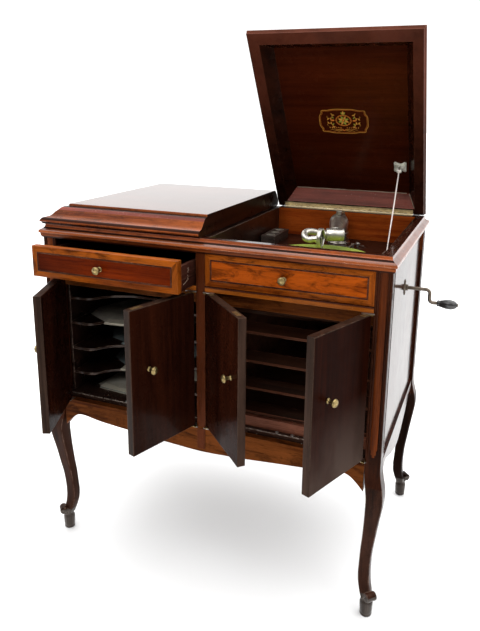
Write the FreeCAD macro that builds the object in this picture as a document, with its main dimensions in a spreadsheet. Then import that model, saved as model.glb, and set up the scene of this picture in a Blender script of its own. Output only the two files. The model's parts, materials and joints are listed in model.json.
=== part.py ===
import FreeCAD, Part
import os, re, math

# Console gramophone: four-door cabinet on cabriole legs, record rack and drawer on the
# left, sound chamber and turntable well on the right, two moulded lids.
# Cabinet frame used below: x to the right from the left case edge, y back from the case
# front, z up from the floor, millimetres. Every node is shifted by (-offx, -offy) so that
# the row origin is the bottom centre of the whole object.

V = FreeCAD.Vector
doc = FreeCAD.newDocument("console_gramophone")
sheet = doc.addObject("Spreadsheet::Sheet", "dims")

D = {}
ROWS = [
    ("offx", 524.95, "row origin, x"), ("offy", 204.27, "row origin, y"),
    ("caseW", 936, "case width"), ("caseD", 587, "case depth"),
    ("post", 38, "corner post side"), ("postTop", 900, "top of posts"),
    ("postLow", 423, "where the post turns into the leg"),
    ("rimTop", 936, "top of rim moulding"), ("splitX", 469, "split between the two lids"),
    ("panT", 14, "side panel thickness"), ("panIn", 8, "side panel recess"),
    ("panLow", 423, "lower edge of side panels"),
    ("floorZ", 446, "top of bottom board"), ("floorT", 18, "bottom board thickness"),
    ("stileL", 457, "centre stile left"), ("stileR", 481, "centre stile right"),
    ("stileT", 22, "centre stile thickness"),
    ("apronTop", 434, "top of front apron"), ("apronT", 20, "apron thickness"),
    ("doorLow", 437.5, "lower edge of doors"), ("doorTop", 800.5, "upper edge of doors"),
    ("doorT", 20, "door thickness"), ("doorW", 207.4, "door width"),
    ("pivY", 4, "hinge pivot ahead of the case front"), ("pivGap", 0.5, "door edge to pivot line"),
    ("railLow", 803, "lower edge of door rail"), ("railTop", 815, "upper edge of door rail"),
    ("drLow", 818, "lower edge of drawer front"), ("drTop", 898.5, "upper edge of drawer front"),
    ("drT", 20, "drawer front thickness"), ("drOut", 95, "drawer pulled out at rest"),
    ("boardTop", 850, "top of motor board"), ("boardT", 12, "motor board thickness"),
    ("liningT", 8, "well lining thickness"),
    ("lidLow", 936.4, "lid underside"), ("lidTop", 987.9, "lid top"),
    ("lidBack", 580.6, "lid back edge"), ("lidHingeY", 581, "lid hinge line, y"),
    ("lidHingeZ", 936.2, "lid hinge line, z"), ("lidPanel", 41, "depth of lid recess"),
    ("insetSide", 57, "flat top inset at the sides"), ("insetFront", 47, "flat top inset in front"),
    ("insetBack", 36, "flat top inset at the back"),
    ("ttX", 704, "turntable centre, x"), ("ttY", 208, "turntable centre, y"),
    ("ttR", 152.4, "turntable radius"), ("ttTop", 867.5, "top of turntable plate"),
    ("ttT", 5, "turntable plate thickness"), ("feltT", 2.5, "felt thickness"),
    ("pinR", 3.6, "record pin radius"), ("spindleR", 5, "spindle radius"),
    ("armX", 690, "tonearm swing axis, x"), ("armY", 500, "tonearm swing axis, y"),
    ("armZ", 884, "tonearm centre height"), ("armR", 17.5, "tonearm tube radius"),
    ("crankY", 263, "winding shaft, y"), ("crankZ", 798, "winding shaft, z"),
    ("crankR", 4.5, "winding shaft radius"), ("crankDrop", 33, "crank throw"),
    ("gearMod", 1.5, "winding gear module"), ("pinTeeth", 14, "crank pinion teeth"),
    ("gearTeeth", 42, "winding gear teeth"),
    ("knobR", 10, "knob radius"), ("knobOut", 24, "knob projection"),
    ("knobZ", 645, "door knob height"),
    ("shelfT", 7, "record shelf thickness"), ("rackIn", 40, "rack front behind case front"),
    ("stayX", 855, "lid stay, x"),
    ("angLL", 68.5, "left outer door, degrees open"), ("angLR", 72, "left inner door, degrees open"),
    ("angRL", 44.5, "right inner door, degrees open"), ("angRR", 68.5, "right outer door, degrees open"),
    ("lidOpen", 58.6, "right lid, degrees open"),
]
sheet.set("A1", "name"); sheet.set("B1", "value"); sheet.set("C1", "meaning")
for i, (n, v, c) in enumerate(ROWS):
    r = i + 2
    sheet.set("A%d" % r, n); sheet.set("B%d" % r, repr(v)); sheet.set("C%d" % r, c)
    sheet.setAlias("B%d" % r, n)
    D[n] = float(v)
doc.recompute()


def ex(e):
    return re.sub(r"[A-Za-z_]\w*", lambda m: "dims." + m.group(0) if m.group(0) in D else m.group(0), e)


def bind(o, prop, v):
    if isinstance(v, str):
        o.setExpression(prop, ex(v))
    elif prop.startswith("Placement.Base."):
        p = o.Placement
        b = V(p.Base)
        setattr(b, prop[-1], float(v))
        o.Placement = FreeCAD.Placement(b, p.Rotation)
    else:
        setattr(o, prop, float(v))


def txt(v):
    return v if isinstance(v, str) else repr(float(v))


def box(name, x0, x1, y0, y1, z0, z1):
    """A box between two corners; each value is a number or an expression of the sheet."""
    o = doc.addObject("Part::Box", name)
    for a, v in zip("xyz", (x0, y0, z0)):
        bind(o, "Placement.Base." + a, v)
    for prop, lo, hi in (("Length", x0, x1), ("Width", y0, y1), ("Height", z0, z1)):
        if isinstance(lo, str) or isinstance(hi, str):
            bind(o, prop, "(%s)-(%s)" % (txt(hi), txt(lo)))
        else:
            bind(o, prop, hi - lo)
    return o


AX = {"x": FreeCAD.Rotation(V(0, 1, 0), 90), "y": FreeCAD.Rotation(V(1, 0, 0), -90), "z": FreeCAD.Rotation()}


def cyl(name, x, y, z, r, length, axis="z", r2=None):
    """A cylinder or cone from (x, y, z) along +axis."""
    o = doc.addObject("Part::Cylinder" if r2 is None else "Part::Cone", name)
    rot = AX[axis] if isinstance(axis, str) else FreeCAD.Rotation(V(0, 0, 1), V(*axis))
    o.Placement = FreeCAD.Placement(V(0, 0, 0), rot)
    for a, v in zip("xyz", (x, y, z)):
        bind(o, "Placement.Base." + a, v)
    if r2 is None:
        bind(o, "Radius", r)
    else:
        bind(o, "Radius1", r)
        bind(o, "Radius2", r2)
    bind(o, "Height", length)
    return o


def torus(name, x, y, z, r1, r2, axis="z"):
    o = doc.addObject("Part::Torus", name)
    rot = AX[axis] if isinstance(axis, str) else FreeCAD.Rotation(V(0, 0, 1), V(*axis))
    o.Placement = FreeCAD.Placement(V(x, y, z), rot)
    bind(o, "Radius1", r1)
    bind(o, "Radius2", r2)
    return o


def cut(name, base, *tools):
    if len(tools) > 1:
        tool = fuse(name + "_tools", *tools)
    else:
        tool = tools[0]
    o = doc.addObject("Part::Cut", name)
    o.Base = base
    o.Tool = tool
    return o


def fuse(name, *parts):
    o = doc.addObject("Part::MultiFuse", name)
    o.Shapes = list(parts)
    return o


def common(name, *parts):
    o = doc.addObject("Part::MultiCommon", name)
    o.Shapes = list(parts)
    return o


def group(name, *parts):
    o = doc.addObject("Part::Compound", name)
    o.Links = list(parts)
    return o


def plane(body, role):
    return [f for f in body.Origin.OriginFeatures if f.Role == role][0]


def outline(sk, pts):
    """Closed outline: each entry is a point, or a list of points for a smooth curve."""
    n = len(pts)
    flat = []
    for p in pts:
        if isinstance(p, list):
            flat.append((V(*p[0], 0), V(*p[-1], 0), p))
        else:
            flat.append((V(*p, 0), V(*p, 0), None))
    for i in range(n):
        a, b, curve = flat[i]
        if curve:
            s = Part.BSplineCurve()
            s.interpolate([V(*q, 0) for q in curve])
            sk.addGeometry(s, False)
        nxt = flat[(i + 1) % n][0]
        if (nxt - b).Length > 1e-6:
            sk.addGeometry(Part.LineSegment(b, nxt), False)


# role, how sketch x/y run:  XZ_Plane: sketch x = X, sketch y = Z, normal -Y
#                            YZ_Plane: sketch x = Y, sketch y = Z, normal +X
def pad(name, role, pts, at, length, holes=()):
    """Body: outline on a plane at distance `at` along +X, +Y or +Z, padded the + way."""
    body = doc.addObject("PartDesign::Body", name)
    sk = body.newObject("Sketcher::SketchObject", name + "_sk")
    sk.AttachmentSupport = [(plane(body, role), "")]
    sk.MapMode = "FlatFace"
    off = -at if role == "XZ_Plane" else at
    sk.AttachmentOffset = FreeCAD.Placement(V(0, 0, off), FreeCAD.Rotation())
    outline(sk, pts)
    for h in holes:
        outline(sk, h)
    p = body.newObject("PartDesign::Pad", name + "_pad")
    p.Profile = sk
    bind(p, "Length", length)
    p.Reversed = role == "XZ_Plane"
    return body


def revolve(name, prof, pos, axis):
    """Body: profile of (radius, along) turned about its own Z, then laid along `axis`."""
    body = doc.addObject("PartDesign::Body", name)
    sk = body.newObject("Sketcher::SketchObject", name + "_sk")
    sk.AttachmentSupport = [(plane(body, "XZ_Plane"), "")]
    sk.MapMode = "FlatFace"
    outline(sk, prof)
    r = body.newObject("PartDesign::Revolution", name + "_rev")
    r.Profile = sk
    r.ReferenceAxis = (plane(body, "Z_Axis"), [""])
    r.Angle = 360
    body.Placement = FreeCAD.Placement(V(*pos), FreeCAD.Rotation(V(0, 0, 1), V(*axis)))
    return body


def hexa(name, p):
    """Solid with eight corners, p[0:4] one end and p[4:8] the other, in matching order."""
    p = [V(*q) for q in p]
    quads = [(0, 1, 2, 3), (4, 5, 6, 7), (0, 1, 5, 4), (1, 2, 6, 5), (2, 3, 7, 6), (3, 0, 4, 7)]
    faces = [Part.Face(Part.makePolygon([p[i] for i in q] + [p[q[0]]])) for q in quads]
    s = Part.Solid(Part.Shell(faces))
    if s.Volume < 0:
        s.reverse()
    o = doc.addObject("Part::Feature", name)
    o.Shape = s
    return o


NODES = []
SHIFT = FreeCAD.Placement(V(-D["offx"], -D["offy"], 0), FreeCAD.Rotation())


def node(label, o, rest=None):
    """Name a finished piece; `rest` is its placement at rest from the built position."""
    if o.TypeId in ("Part::Box", "Part::Cylinder", "Part::Cone", "Part::Torus"):
        o = group(label + "_piece", o)
    o.Label = label
    base = o.Placement if o.TypeId == "PartDesign::Body" else FreeCAD.Placement()
    move = SHIFT if rest is None else SHIFT.multiply(rest)
    NODES.append((label, o, move, base))
    return o


def turn(point, axis, deg):
    return FreeCAD.Placement(V(0, 0, 0), FreeCAD.Rotation(V(*axis), deg), V(*point))

W, DP = D["caseW"], D["caseD"]

# ---- legs: post, knee, tapered square leg, scroll and pad, all in one length ----
# (height, outward offset of the section along x and y, section side)
LEG = [(50, 3, 22), (64, 0.5, 25), (80, -3.5, 25), (95, -6.2, 25.5), (120, -7.4, 25.5), (150, -6.2, 25),
       (185, -3.7, 26), (222, 0.8, 28), (260, 5, 31), (290, 8.2, 35), (315, 10.2, 38.5), (340, 11, 40.5),
       (362, 8.5, 41), (385, 4, 39.5), (405, 1, 38.3), (423, 0, 38)]
cx, cy = W - D["post"] / 2, D["post"] / 2
leg = doc.addObject("PartDesign::Body", "leg_master")
secs = []
for i, (z, e, s) in enumerate(LEG):
    sk = leg.newObject("Sketcher::SketchObject", "leg_sec%d" % i)
    sk.AttachmentSupport = [(plane(leg, "XY_Plane"), "")]
    sk.MapMode = "FlatFace"
    sk.AttachmentOffset = FreeCAD.Placement(V(cx + e, cy - e, z), FreeCAD.Rotation())
    q = s / 2.0
    outline(sk, [(-q, -q), (q, -q), (q, q), (-q, q)])
    secs.append(sk)
loft = leg.newObject("PartDesign::AdditiveLoft", "leg_loft")
loft.Profile = secs[0]
loft.Sections = secs[1:]
loft.Ruled = False
post = box("leg_post", "caseW-post", "caseW", 0, "post", "postLow", "postTop")
post_notch = box("leg_notch", "caseW-post-1", "caseW-22", 22, "post+1", "boardTop-boardT", "postTop+1")
post_cut = cut("leg_post_cut", post, post_notch)
d2 = math.sqrt(0.5)
scroll = cyl("leg_scroll", cx + 15 - 13 * d2, cy - 15 - 13 * d2, 62, 11, 26, (d2, d2, 0))
foot = revolve("leg_foot", [(0, 0), (10, 0), (13.2, 3), (14.8, 8), (15, 15), (14.8, 24), (13.2, 33), (11, 40),
                            (10, 54), (0, 54)], (cx + 4, cy - 4, 0), (0, 0, 1))
leg_all = fuse("leg_whole", leg, post_cut, scroll, foot)


def mirrored(name, src, base, normal):
    m = doc.addObject("Part::Mirroring", name)
    m.Source = src
    m.Base = V(*base)
    m.Normal = V(*normal)
    return m


leg_fl = mirrored("leg_fl", leg_all, (W / 2, 0, 0), (1, 0, 0))
front_legs = group("legs_f", leg_all, leg_fl)
node("back_legs", mirrored("legs_b", front_legs, (0, DP / 2, 0), (0, 1, 0)))
node("front_legs", group("legs_f_piece", front_legs))

# ---- case panels ----
side_r = box("side_r", "caseW-panIn-panT", "caseW-panIn", "post", "caseD-post", "panLow", "postTop")
side_hole = cyl("side_hole", "caseW-panIn-panT-2", "crankY", "crankZ", "crankR+1.5", 30, "x")
node("side_panel_right", cut("side_rc", side_r, side_hole))
node("side_panel_left", box("side_l", "panIn", "panIn+panT", "post", "caseD-post", "panLow", "postTop"))
node("back_panel", box("back", "post", "caseW-post", "caseD-12", "caseD-4", "apronTop", "postTop"))
bb = box("bottom0", "panIn+panT", "caseW-panIn-panT", 21, "caseD-12", "floorZ-floorT", "floorZ")
notches = [box("bn%d" % i, x0, x1, y0, y1, "floorZ-floorT-1", "floorZ+1") for i, (x0, x1, y0, y1) in enumerate((
    (0, "post", 0, "post"), ("caseW-post", "caseW", 0, "post"),
    (0, "post", "caseD-post", "caseD"), ("caseW-post", "caseW", "caseD-post", "caseD")))]
node("bottom_board", cut("bottom_c", bb, *notches))
node("centre_partition", cut("partition_c", box("partition", "splitX-10", "splitX+10", "stileT", "caseD-12", "floorZ", "rimTop-2"),
                             box("partition_k", "splitX-11", "splitX+11", "caseD-22", "caseD", "postTop", "rimTop")))
stile = box("stile0", "stileL", "stileR", 0, "stileT", "apronTop", "postTop")
stile_back = box("stile_b", "stileL-1", "stileR+1", "stileT-1", "stileT+1", "apronTop-1", "postTop+1")
stile_cut = cut("stile_c", stile, stile_back)

# ---- aprons ----
half = [(0, 362), (65, 364.5), (130, 368.5), (200, 374.5), (260, 379), (320, 384.5), (350, 389.5), (372, 392),
        (392, 388), (408, 376), (420, 364), (430, 352)]
low = [(W / 2 - a, b) for a, b in reversed(half)] + [(W / 2 + a, b) for a, b in half[1:]]
node("front_apron", pad("apron_f", "XZ_Plane", [(D["post"], D["apronTop"]), low, (W - D["post"], D["apronTop"])],
                        0, "apronT"))
sl = [(38, 366), (60, 388), (85, 397), (120, 388), (180, 365), (240, 346), (293, 338), (346, 346), (407, 365),
      (467, 388), (502, 397), (527, 388), (549, 366)]
side_top = D["panLow"] - 0.5
ap_r = (pad("apron_r", "YZ_Plane", [(38, side_top), sl, (549, side_top)], W - 20, 18))
ap_l = (pad("apron_l", "YZ_Plane", [(38, side_top), sl, (549, side_top)], 2, 18))
ap_b = box("apron_b", "post", "caseW-post", "caseD-22", "caseD-4", 372, "apronTop-6")
node("side_and_back_aprons", group("aprons", ap_r, ap_l, ap_b))
blk = box("blk", "stileL+1", "stileR-1", -2, 0, 372, 430)
scr1 = cyl("blk_s1", 464, -2.8, 398, 2.2, 1, "y")
scr2 = cyl("blk_s2", 476, -2.8, 391, 2.2, 1, "y")
node("centre_stile", group("stile_all", stile_cut, fuse("blk_all", blk, scr1, scr2)))

# ---- rails ----
xl0, xl1, xr0, xr1 = "post", "stileL", "stileR", "caseW-post"
rails = [box("rail_l", xl0, xl1, 0, 20, "railLow", "railTop"), box("rail_r", xr0, xr1, 0, 20, "railLow", "railTop"),
         box("dust_l", "panIn+panT", "splitX-10", 40, "caseD-post", "railLow", "railLow+8")]
stops = [box("stop_l", xl0, "stileL", 22, 40, 766, "railLow"), box("stop_r", "stileR-2", xr1, 22, 40, 766, "railLow")]
run_l = box("run_l", "post", "post+14", 41, 540, 811.5, 817)
run_r = box("run_r", "stileL-12", "stileL+1", 41, 540, 811.5, 817)
bead = box("bead", "stileR", "caseW-post", -2.2, 0, 814, 817)
node("door_rails", group("rails", rails[0], rails[1], bead, *stops))
deck = box("deck_l", "panIn+panT", "splitX-10", 22, "caseD-22", "postTop+1", "postTop+9")
node("drawer_case_boards", group("runners", run_l, run_r, rails[2], deck))

# ---- rim moulding: the front profile and the side profile meet in mitres ----
RIM = [(0, 900), (2.6, 900), (4.4, 904), (5.6, 907), (5.6, 911.6), (9, 913.2), (9.2, 916), (8.4, 919), (5.8, 921.6),
       (2, 923.4), (-0.6, 925.2), (-2.8, 927.6), (-4, 930.5), (-4.5, 933.4), (-4.5, 936)]
prof_x = [(W + o, z) for o, z in RIM] + [(-o, z) for o, z in reversed(RIM)]
prof_y = [(DP + o, z) for o, z in RIM] + [(-o, z) for o, z in reversed(RIM)]
rim_a = pad("rim_a", "XZ_Plane", prof_x, -20, DP + 40)
rim_b = pad("rim_b", "YZ_Plane", prof_y, -20, W + 40)
rim_0 = common("rim_0", rim_a, rim_b)
rim_open = box("rim_open", "panIn+panT", "caseW-panIn-panT", 22, "caseD-22", 890, 950)
reb = box("rim_reb", 20, 916, "lidHingeY-19", "caseD+12", "rimTop-1.6", 950)
grv = box("rim_grv", 20, 916, "lidHingeY-3.2", "caseD+12", "rimTop-3", 950)
node("rim_moulding", cut("rim_c", rim_0, rim_open, reb, grv))

# ---- turntable well ----
lin = [box("lin_f", "splitX+10", "caseW-30", 22, "22+liningT", "boardTop", "rimTop-2"),
       box("lin_r", "caseW-30", "caseW-22", 22, "caseD-22", "boardTop", "rimTop-2"),
       box("lin_b", "splitX+10", "caseW-30", "caseD-30", "caseD-22", "boardTop", "rimTop-2")]
node("well_lining", fuse("lining", *lin))
mb = box("mb0", "splitX+10", "caseW-22", 22, "caseD-22", "boardTop-boardT", "boardTop")
mb_sp = cyl("mb_sp", "ttX", "ttY", "boardTop-20", 16, 30)
mb_arm = cyl("mb_arm", "armX", "armY", "boardTop-20", 17, 30)
mb_stay = box("mb_stay", "stayX-5", "stayX+5", 365, 415, "boardTop-20", "boardTop+5")
mb_reg = cyl("mb_reg", 759, 458, "boardTop-20", 3.2, 30)
mb_brk = cyl("mb_brk", 750, 436, "boardTop-20", 3.2, 30)
mb_plate = box("mb_plate", 769, 788, 449, 467, "boardTop-1", "boardTop+1")
node("motor_board", cut("mb_c", fuse("mb_1", mb, mb_plate), mb_sp, mb_arm, mb_stay, mb_reg, mb_brk))

# ---- false drawer front ----


def framed_front(name, x0, x1, z0, z1, inset, y0):
    face = box(name + "_f", x0, x1, y0, y0 + D["drT"], z0, z1)
    a = box(name + "_ra", x0 + inset - 1.5, x1 - inset + 1.5, y0 - 1.6, y0 + 1, z0 + inset - 1.5, z1 - inset + 1.5)
    b = box(name + "_rb", x0 + inset + 1.5, x1 - inset - 1.5, y0 - 3, y0 + 2, z0 + inset + 1.5, z1 - inset - 1.5)
    ring = cut(name + "_ring", a, b)
    return fuse(name, face, ring)


node("false_drawer_front", framed_front("false_front", 481, 898, D["drLow"], 900, 16, 0))

KNOB = [(0, 0), (6.4, 0), (6.4, 1.6), (3.4, 3.2), (2.9, 8), (3.6, 12), (6, 14.2), (9.2, 15.6), (10, 17.6),
        (9.6, 19.8), (7.4, 22), (3.8, 23.6), (0, 24)]
node("false_drawer_knob", revolve("knob_f", KNOB, (685, 0, 857), (0, -1, 0)))

# ---- drawer, built where it stands at rest ----
yo = -D["drOut"]
node("drawer_front", framed_front("dr_front", 38.8, 456.2, D["drLow"], D["drTop"], 17, yo))
node("drawer_knob", revolve("knob_d", KNOB, (242, yo, 857), (0, -1, 0)))
db = box("db0", 43, 452, yo + 20, yo + 560, 817.5, 880)
db_in = box("db_in", 53, 442, yo + 20, yo + 550, 826, 900)
db_gl = box("db_gl", 42, 44.5, yo + 19, yo + 561, 846, 858)
db_gr = box("db_gr", 450.5, 453, yo + 19, yo + 561, 846, 858)
node("drawer_box", group("db_all", cut("db_c", db, db_in, db_gl, db_gr),
                         box("db_bot", 53, 442, yo + 20, yo + 550, 826, 831)))

# ---- doors, each built closed and turned about its pivot line ----
yp = -D["pivY"]
DOORS = [  # label, pivot x, side the closed door lies on, degrees open, knob distance from the hinge edge
    ("left_outer", D["post"], 1, D["angLL"], 152), ("left_inner", D["stileL"], -1, D["angLR"], 152),
    ("right_inner", D["stileR"], 1, D["angRL"], 166), ("right_outer", W - D["post"], -1, D["angRR"], 152)]
zc = [(D["doorTop"], D["railLow"], 1), (D["doorLow"], D["apronTop"], -1)]
plates = []
for nm, px, sg, ang, kd in DOORS:
    a, b = sorted((px + sg * D["pivGap"], px + sg * (D["pivGap"] + D["doorW"])))
    rest = turn((px, yp, 0), (0, 0, 1), -sg * ang)
    slab = box("slab_" + nm, a, b, 0, "doorT", "doorLow", "doorTop")
    node("door_" + nm, slab, rest)
    arms = []
    for zd, zcase, up in zc:
        lo, hi = sorted((zd, zd + up * 1.2))
        x0, x1 = sorted((px + sg * 0.8, px + sg * 26))
        flat = box("arm_%s%d" % (nm, up), x0, x1, 2, 14, lo, hi)
        neck = box("arn_%s%d" % (nm, up), min(px, px + sg * 9), max(px, px + sg * 9), yp - 3.6, 4, lo, hi)
        disc = cyl("ard_%s%d" % (nm, up), px, yp, lo, 3.6, hi - lo)
        hole = cyl("arh_%s%d" % (nm, up), px, yp, lo - 1, 1.55, hi - lo + 2)
        arms.append(cut("arm_c_%s%d" % (nm, up), fuse("arm_f_%s%d" % (nm, up), flat, neck, disc), hole))
        c0, c1 = sorted((zcase, zcase - up * 1.0))
        pflat = box("plf_%s%d" % (nm, up), min(px + sg * 0.3, px + sg * 26), max(px + sg * 0.3, px + sg * 26),
                    yp - 3.6, 14, c0, c1)
        p0, p1 = sorted((zcase, zd))
        pin = cyl("plp_%s%d" % (nm, up), px, yp, p0, 1.5, p1 - p0)
        pdisc = cyl("pld_%s%d" % (nm, up), px, yp, c0, 3.6, c1 - c0)
        plates.append(fuse("plate_%s%d" % (nm, up), pflat, pdisc, pin))
    kb = revolve("knob_" + nm, KNOB, (px + sg * (D["pivGap"] + kd), 0, D["knobZ"]), (0, -1, 0))
    node("door_knob_and_arms_" + nm, group("hw_" + nm, kb, *arms), rest)
cat = []
for i, x in enumerate((226, 267, 668, 709)):
    bar = cyl("cat%d" % i, x, 28, D["floorZ"], 5, 1.2)
    ball = cyl("cab%d" % i, x, 28, D["floorZ"], 3, 3.4, "z", 1.6)
    cat.append(fuse("catch%d" % i, bar, ball))
node("door_pivot_plates", group("plates", *plates, *cat))

# ---- record rack ----
rf = D["rackIn"]
rack_s = [box("rk_l", 39, 45, "rackIn", 560, "floorZ", "railLow"), box("rk_r", 451, 457, "rackIn", 560, "floorZ", "railLow")]
shelves = []
for i, z in enumerate((504, 578, 653, 727)):
    xa, xb, y0, y1 = 45.0, 451.0, rf, 556.0
    bay = [(xb, y0), (xb - 48, y0)]
    c = 248.0
    curve = [(c + 155, y0), (c + 140, y0 + 7), (c + 118, y0 + 34), (c + 80, y0 + 62), (c, y0 + 78), (c - 80, y0 + 62),
             (c - 118, y0 + 34), (c - 140, y0 + 7), (c - 155, y0)]
    body = doc.addObject("PartDesign::Body", "shelf%d" % i)
    sk = body.newObject("Sketcher::SketchObject", "shelf_sk%d" % i)
    sk.AttachmentSupport = [(plane(body, "XY_Plane"), "")]
    sk.MapMode = "FlatFace"
    sk.AttachmentOffset = FreeCAD.Placement(V(0, 0, z - D["shelfT"]), FreeCAD.Rotation())
    outline(sk, [(xa, y1), (xb, y1), (xb, y0), curve, (xa, y0)])
    p = body.newObject("PartDesign::Pad", "shelf_pad%d" % i)
    p.Profile = sk
    bind(p, "Length", "shelfT")
    shelves.append(body)
node("record_rack", group("rack", *rack_s, *shelves))

# ---- sound chamber: tapered boards from the mouth back to the elbow under the tonearm ----
t = 9.0
MX0, MX1, MZ0, MZ1, MY = 490.0, 889.0, 452.0, 742.0, 64.0     # mouth
TX0, TX1, TZ0, TZ1, TY = 660.0, 720.0, 590.0, 652.0, 480.0    # throat


top = hexa("horn_t", [(MX0 - t, MY, MZ1), (MX1 + t, MY, MZ1), (MX1 + t, MY, MZ1 + t), (MX0 - t, MY, MZ1 + t),
                      (TX0 - t, TY, TZ1), (TX1 + t, TY, TZ1), (TX1 + t, TY, TZ1 + t), (TX0 - t, TY, TZ1 + t)])
bot = hexa("horn_b", [(MX0 - t, MY, MZ0 - 6), (MX1 + t, MY, MZ0 - 6), (MX1 + t, MY, MZ0), (MX0 - t, MY, MZ0),
                      (TX0 - t, TY, TZ0 - t), (TX1 + t, TY, TZ0 - t), (TX1 + t, TY, TZ0), (TX0 - t, TY, TZ0)])
lef = hexa("horn_l", [(MX0 - t, MY, MZ0), (MX0, MY, MZ0), (MX0, MY, MZ1), (MX0 - t, MY, MZ1),
                      (TX0 - t, TY, TZ0), (TX0, TY, TZ0), (TX0, TY, TZ1), (TX0 - t, TY, TZ1)])
rig = hexa("horn_r", [(MX1, MY, MZ0), (MX1 + t, MY, MZ0), (MX1 + t, MY, MZ1), (MX1, MY, MZ1),
                      (TX1, TY, TZ0), (TX1 + t, TY, TZ0), (TX1 + t, TY, TZ1), (TX1, TY, TZ1)])
node("horn_boards", group("horn", top, bot, lef, rig))
eb = box("elb", TX0 - 6, TX1 + 6, TY, 530, TZ0 - 6, "boardTop-boardT-0.0")
e1 = box("elb1", TX0, TX1, TY - 1, 524, TZ0, TZ1)
e2 = box("elb2", TX0, TX1, TY + 6, 524, TZ0, "boardTop")
node("horn_elbow", cut("elbow_c", eb, e1, e2))

# sloping slats in front of the mouth
slats = []
for i, z in enumerate((484, 552, 625, 702)):
    slats.append(hexa("slat%d" % i, [(484, 41, z - 7), (895, 41, z - 7), (895, 41, z), (484, 41, z),
                                     (484, 63, z - 1 + 12), (895, 63, z - 1 + 12), (895, 63, z + 18), (484, 63, z + 18)]))
frame_s = [box("lf_l", 479.5, 484, 41, 63, "floorZ", 766), box("lf_r", 895, 898, 41, 63, "floorZ", 766)]
node("louvre_slats", group("slats", *frame_s, *slats))

# record sleeves lying in the rack
sl_s = []
for i, (x0, x1, y0, y1, z, th, a) in enumerate(((122, 372, 66, 316, 653, 5, 7), (170, 420, 90, 340, 578, 4, -6),
                                                (150, 400, 98, 348, 504, 3, 5), (110, 360, 60, 310, 446, 6, -4))):
    b = box("sleeve%d" % i, -(x1 - x0) / 2, (x1 - x0) / 2, -(y1 - y0) / 2, (y1 - y0) / 2, 0, th)
    g = group("sleeve_g%d" % i, b)
    g.Placement = FreeCAD.Placement(V((x0 + x1) / 2, (y0 + y1) / 2, z + 0.1), FreeCAD.Rotation(V(0, 0, 1), a))
    sl_s.append(g)
node("record_sleeves", group("sleeves", *sl_s))

# ---- motor under the board ----
sx, sy = D["ttX"], D["ttY"]
gy, gz = D["crankY"], D["crankZ"]
cdist = D["gearMod"] * (D["pinTeeth"] + D["gearTeeth"]) / 2 + 0.02
ay, az = gy - cdist * math.cos(math.radians(36)), gz - cdist * math.sin(math.radians(36))
bt = D["boardTop"] - D["boardT"]
bp = [box("bp_top", 576, 816, 150, 312, bt - 4, bt), box("bp_bot", 576, 816, 150, 290, 734, 737),
      box("bp_l", 576, 580, 200, 290, 737, bt - 4), box("bp_r", 812, 816, 200, 290, 737, bt - 4),
      box("bp_g1", 632, 636, 176, 196, 737, 800), box("bp_g2", 766, 770, 176, 196, 737, 800)]
bp += [cyl("bp_p%d" % i, x, y, 737, 5, bt - 741) for i, (x, y) in enumerate(((584, 158), (808, 158)))]
bp_all = fuse("bp_all", *bp)
bp_cut = [cyl("bpc_s", sx, sy, 730, "spindleR+0.06", 120), cyl("bpc_a", 570, ay, az, 5.06, 250, "x"),
          cyl("bpc_c", 806, gy, gz, "crankR+0.06", 20, "x"), cyl("bpc_g", 625, 186, 783, 2.56, 150, "x")]
node("motor_bedplate", cut("bedplate", bp_all, *bp_cut))


def gear(name, teeth, x, y, z, width, axis, phase, bore=0.0):
    """Spur gear of the sheet's module: a blank with straight-flanked teeth."""
    m = D["gearMod"]
    rp, ra, rf = m * teeth / 2, m * teeth / 2 + 0.9 * m, m * teeth / 2 - 1.15 * m
    pts = []
    for k in range(int(teeth)):
        c = 2 * math.pi * k / teeth + phase
        tw = math.pi / 2 / teeth
        for rr, f in ((rf, -1.42), (rp, -0.93), (ra, -0.42), (ra, 0.42), (rp, 0.93), (rf, 1.42)):
            pts.append((rr * math.cos(c + f * tw), rr * math.sin(c + f * tw)))
    body = doc.addObject("PartDesign::Body", name)
    sk = body.newObject("Sketcher::SketchObject", name + "_sk")
    sk.AttachmentSupport = [(plane(body, "XY_Plane"), "")]
    sk.MapMode = "FlatFace"
    outline(sk, pts)
    if bore:
        sk.addGeometry(Part.Circle(V(0, 0, 0), V(0, 0, 1), bore), False)
    p = body.newObject("PartDesign::Pad", name + "_pad")
    p.Profile = sk
    bind(p, "Length", width)
    body.Placement = FreeCAD.Placement(V(x, y, z), AX[axis])
    return body


# the line from the arbor to the shaft, as seen in the plane of the gears (local x = -Z, local y = Y)
ang = math.atan2(gy - ay, -(gz - az))
g_big = gear("gear_big", D["gearTeeth"], 800, ay, az, 7, "x", ang)
pt = D["pinTeeth"]
g_small = gear("gear_small", pt, 800.5, gy, gz, 6, "x", ang + math.pi + math.pi / pt)
arb = cyl("arbor", 572, ay, az, 5, 242, "x")
node("winding_arbor", fuse("arbor_all", arb, g_big))
bar = []
for i, x in enumerate((587, 637.5)):
    b = cyl("bar%d" % i, x, ay, az, 28, 44, "x")
    rimr = cyl("bar_r%d" % i, x + 40, ay, az, 30, 3, "x")
    hole = cyl("bar_h%d" % i, x - 1, ay, az, 5.06, 50, "x")
    bar.append(cut("bar_c%d" % i, fuse("bar_f%d" % i, b, rimr), hole))
node("spring_barrels", group("barrels", *bar))
node("turntable_spindle", fuse("spindle_all", cyl("spin", sx, sy, 734, "spindleR", 132),
                               cyl("pin", sx, sy, 865, "pinR", 14), cyl("spin_w", sx, sy, 779, 14, 8)))
gv = [cyl("gv_s", 628, 186, 783, 2.5, 146, "x"), cyl("gv_d", 748, 186, 783, 14, 3, "x"),
      cyl("gv_c", 722, 186, 783, 4, 5, "x")]
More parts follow.
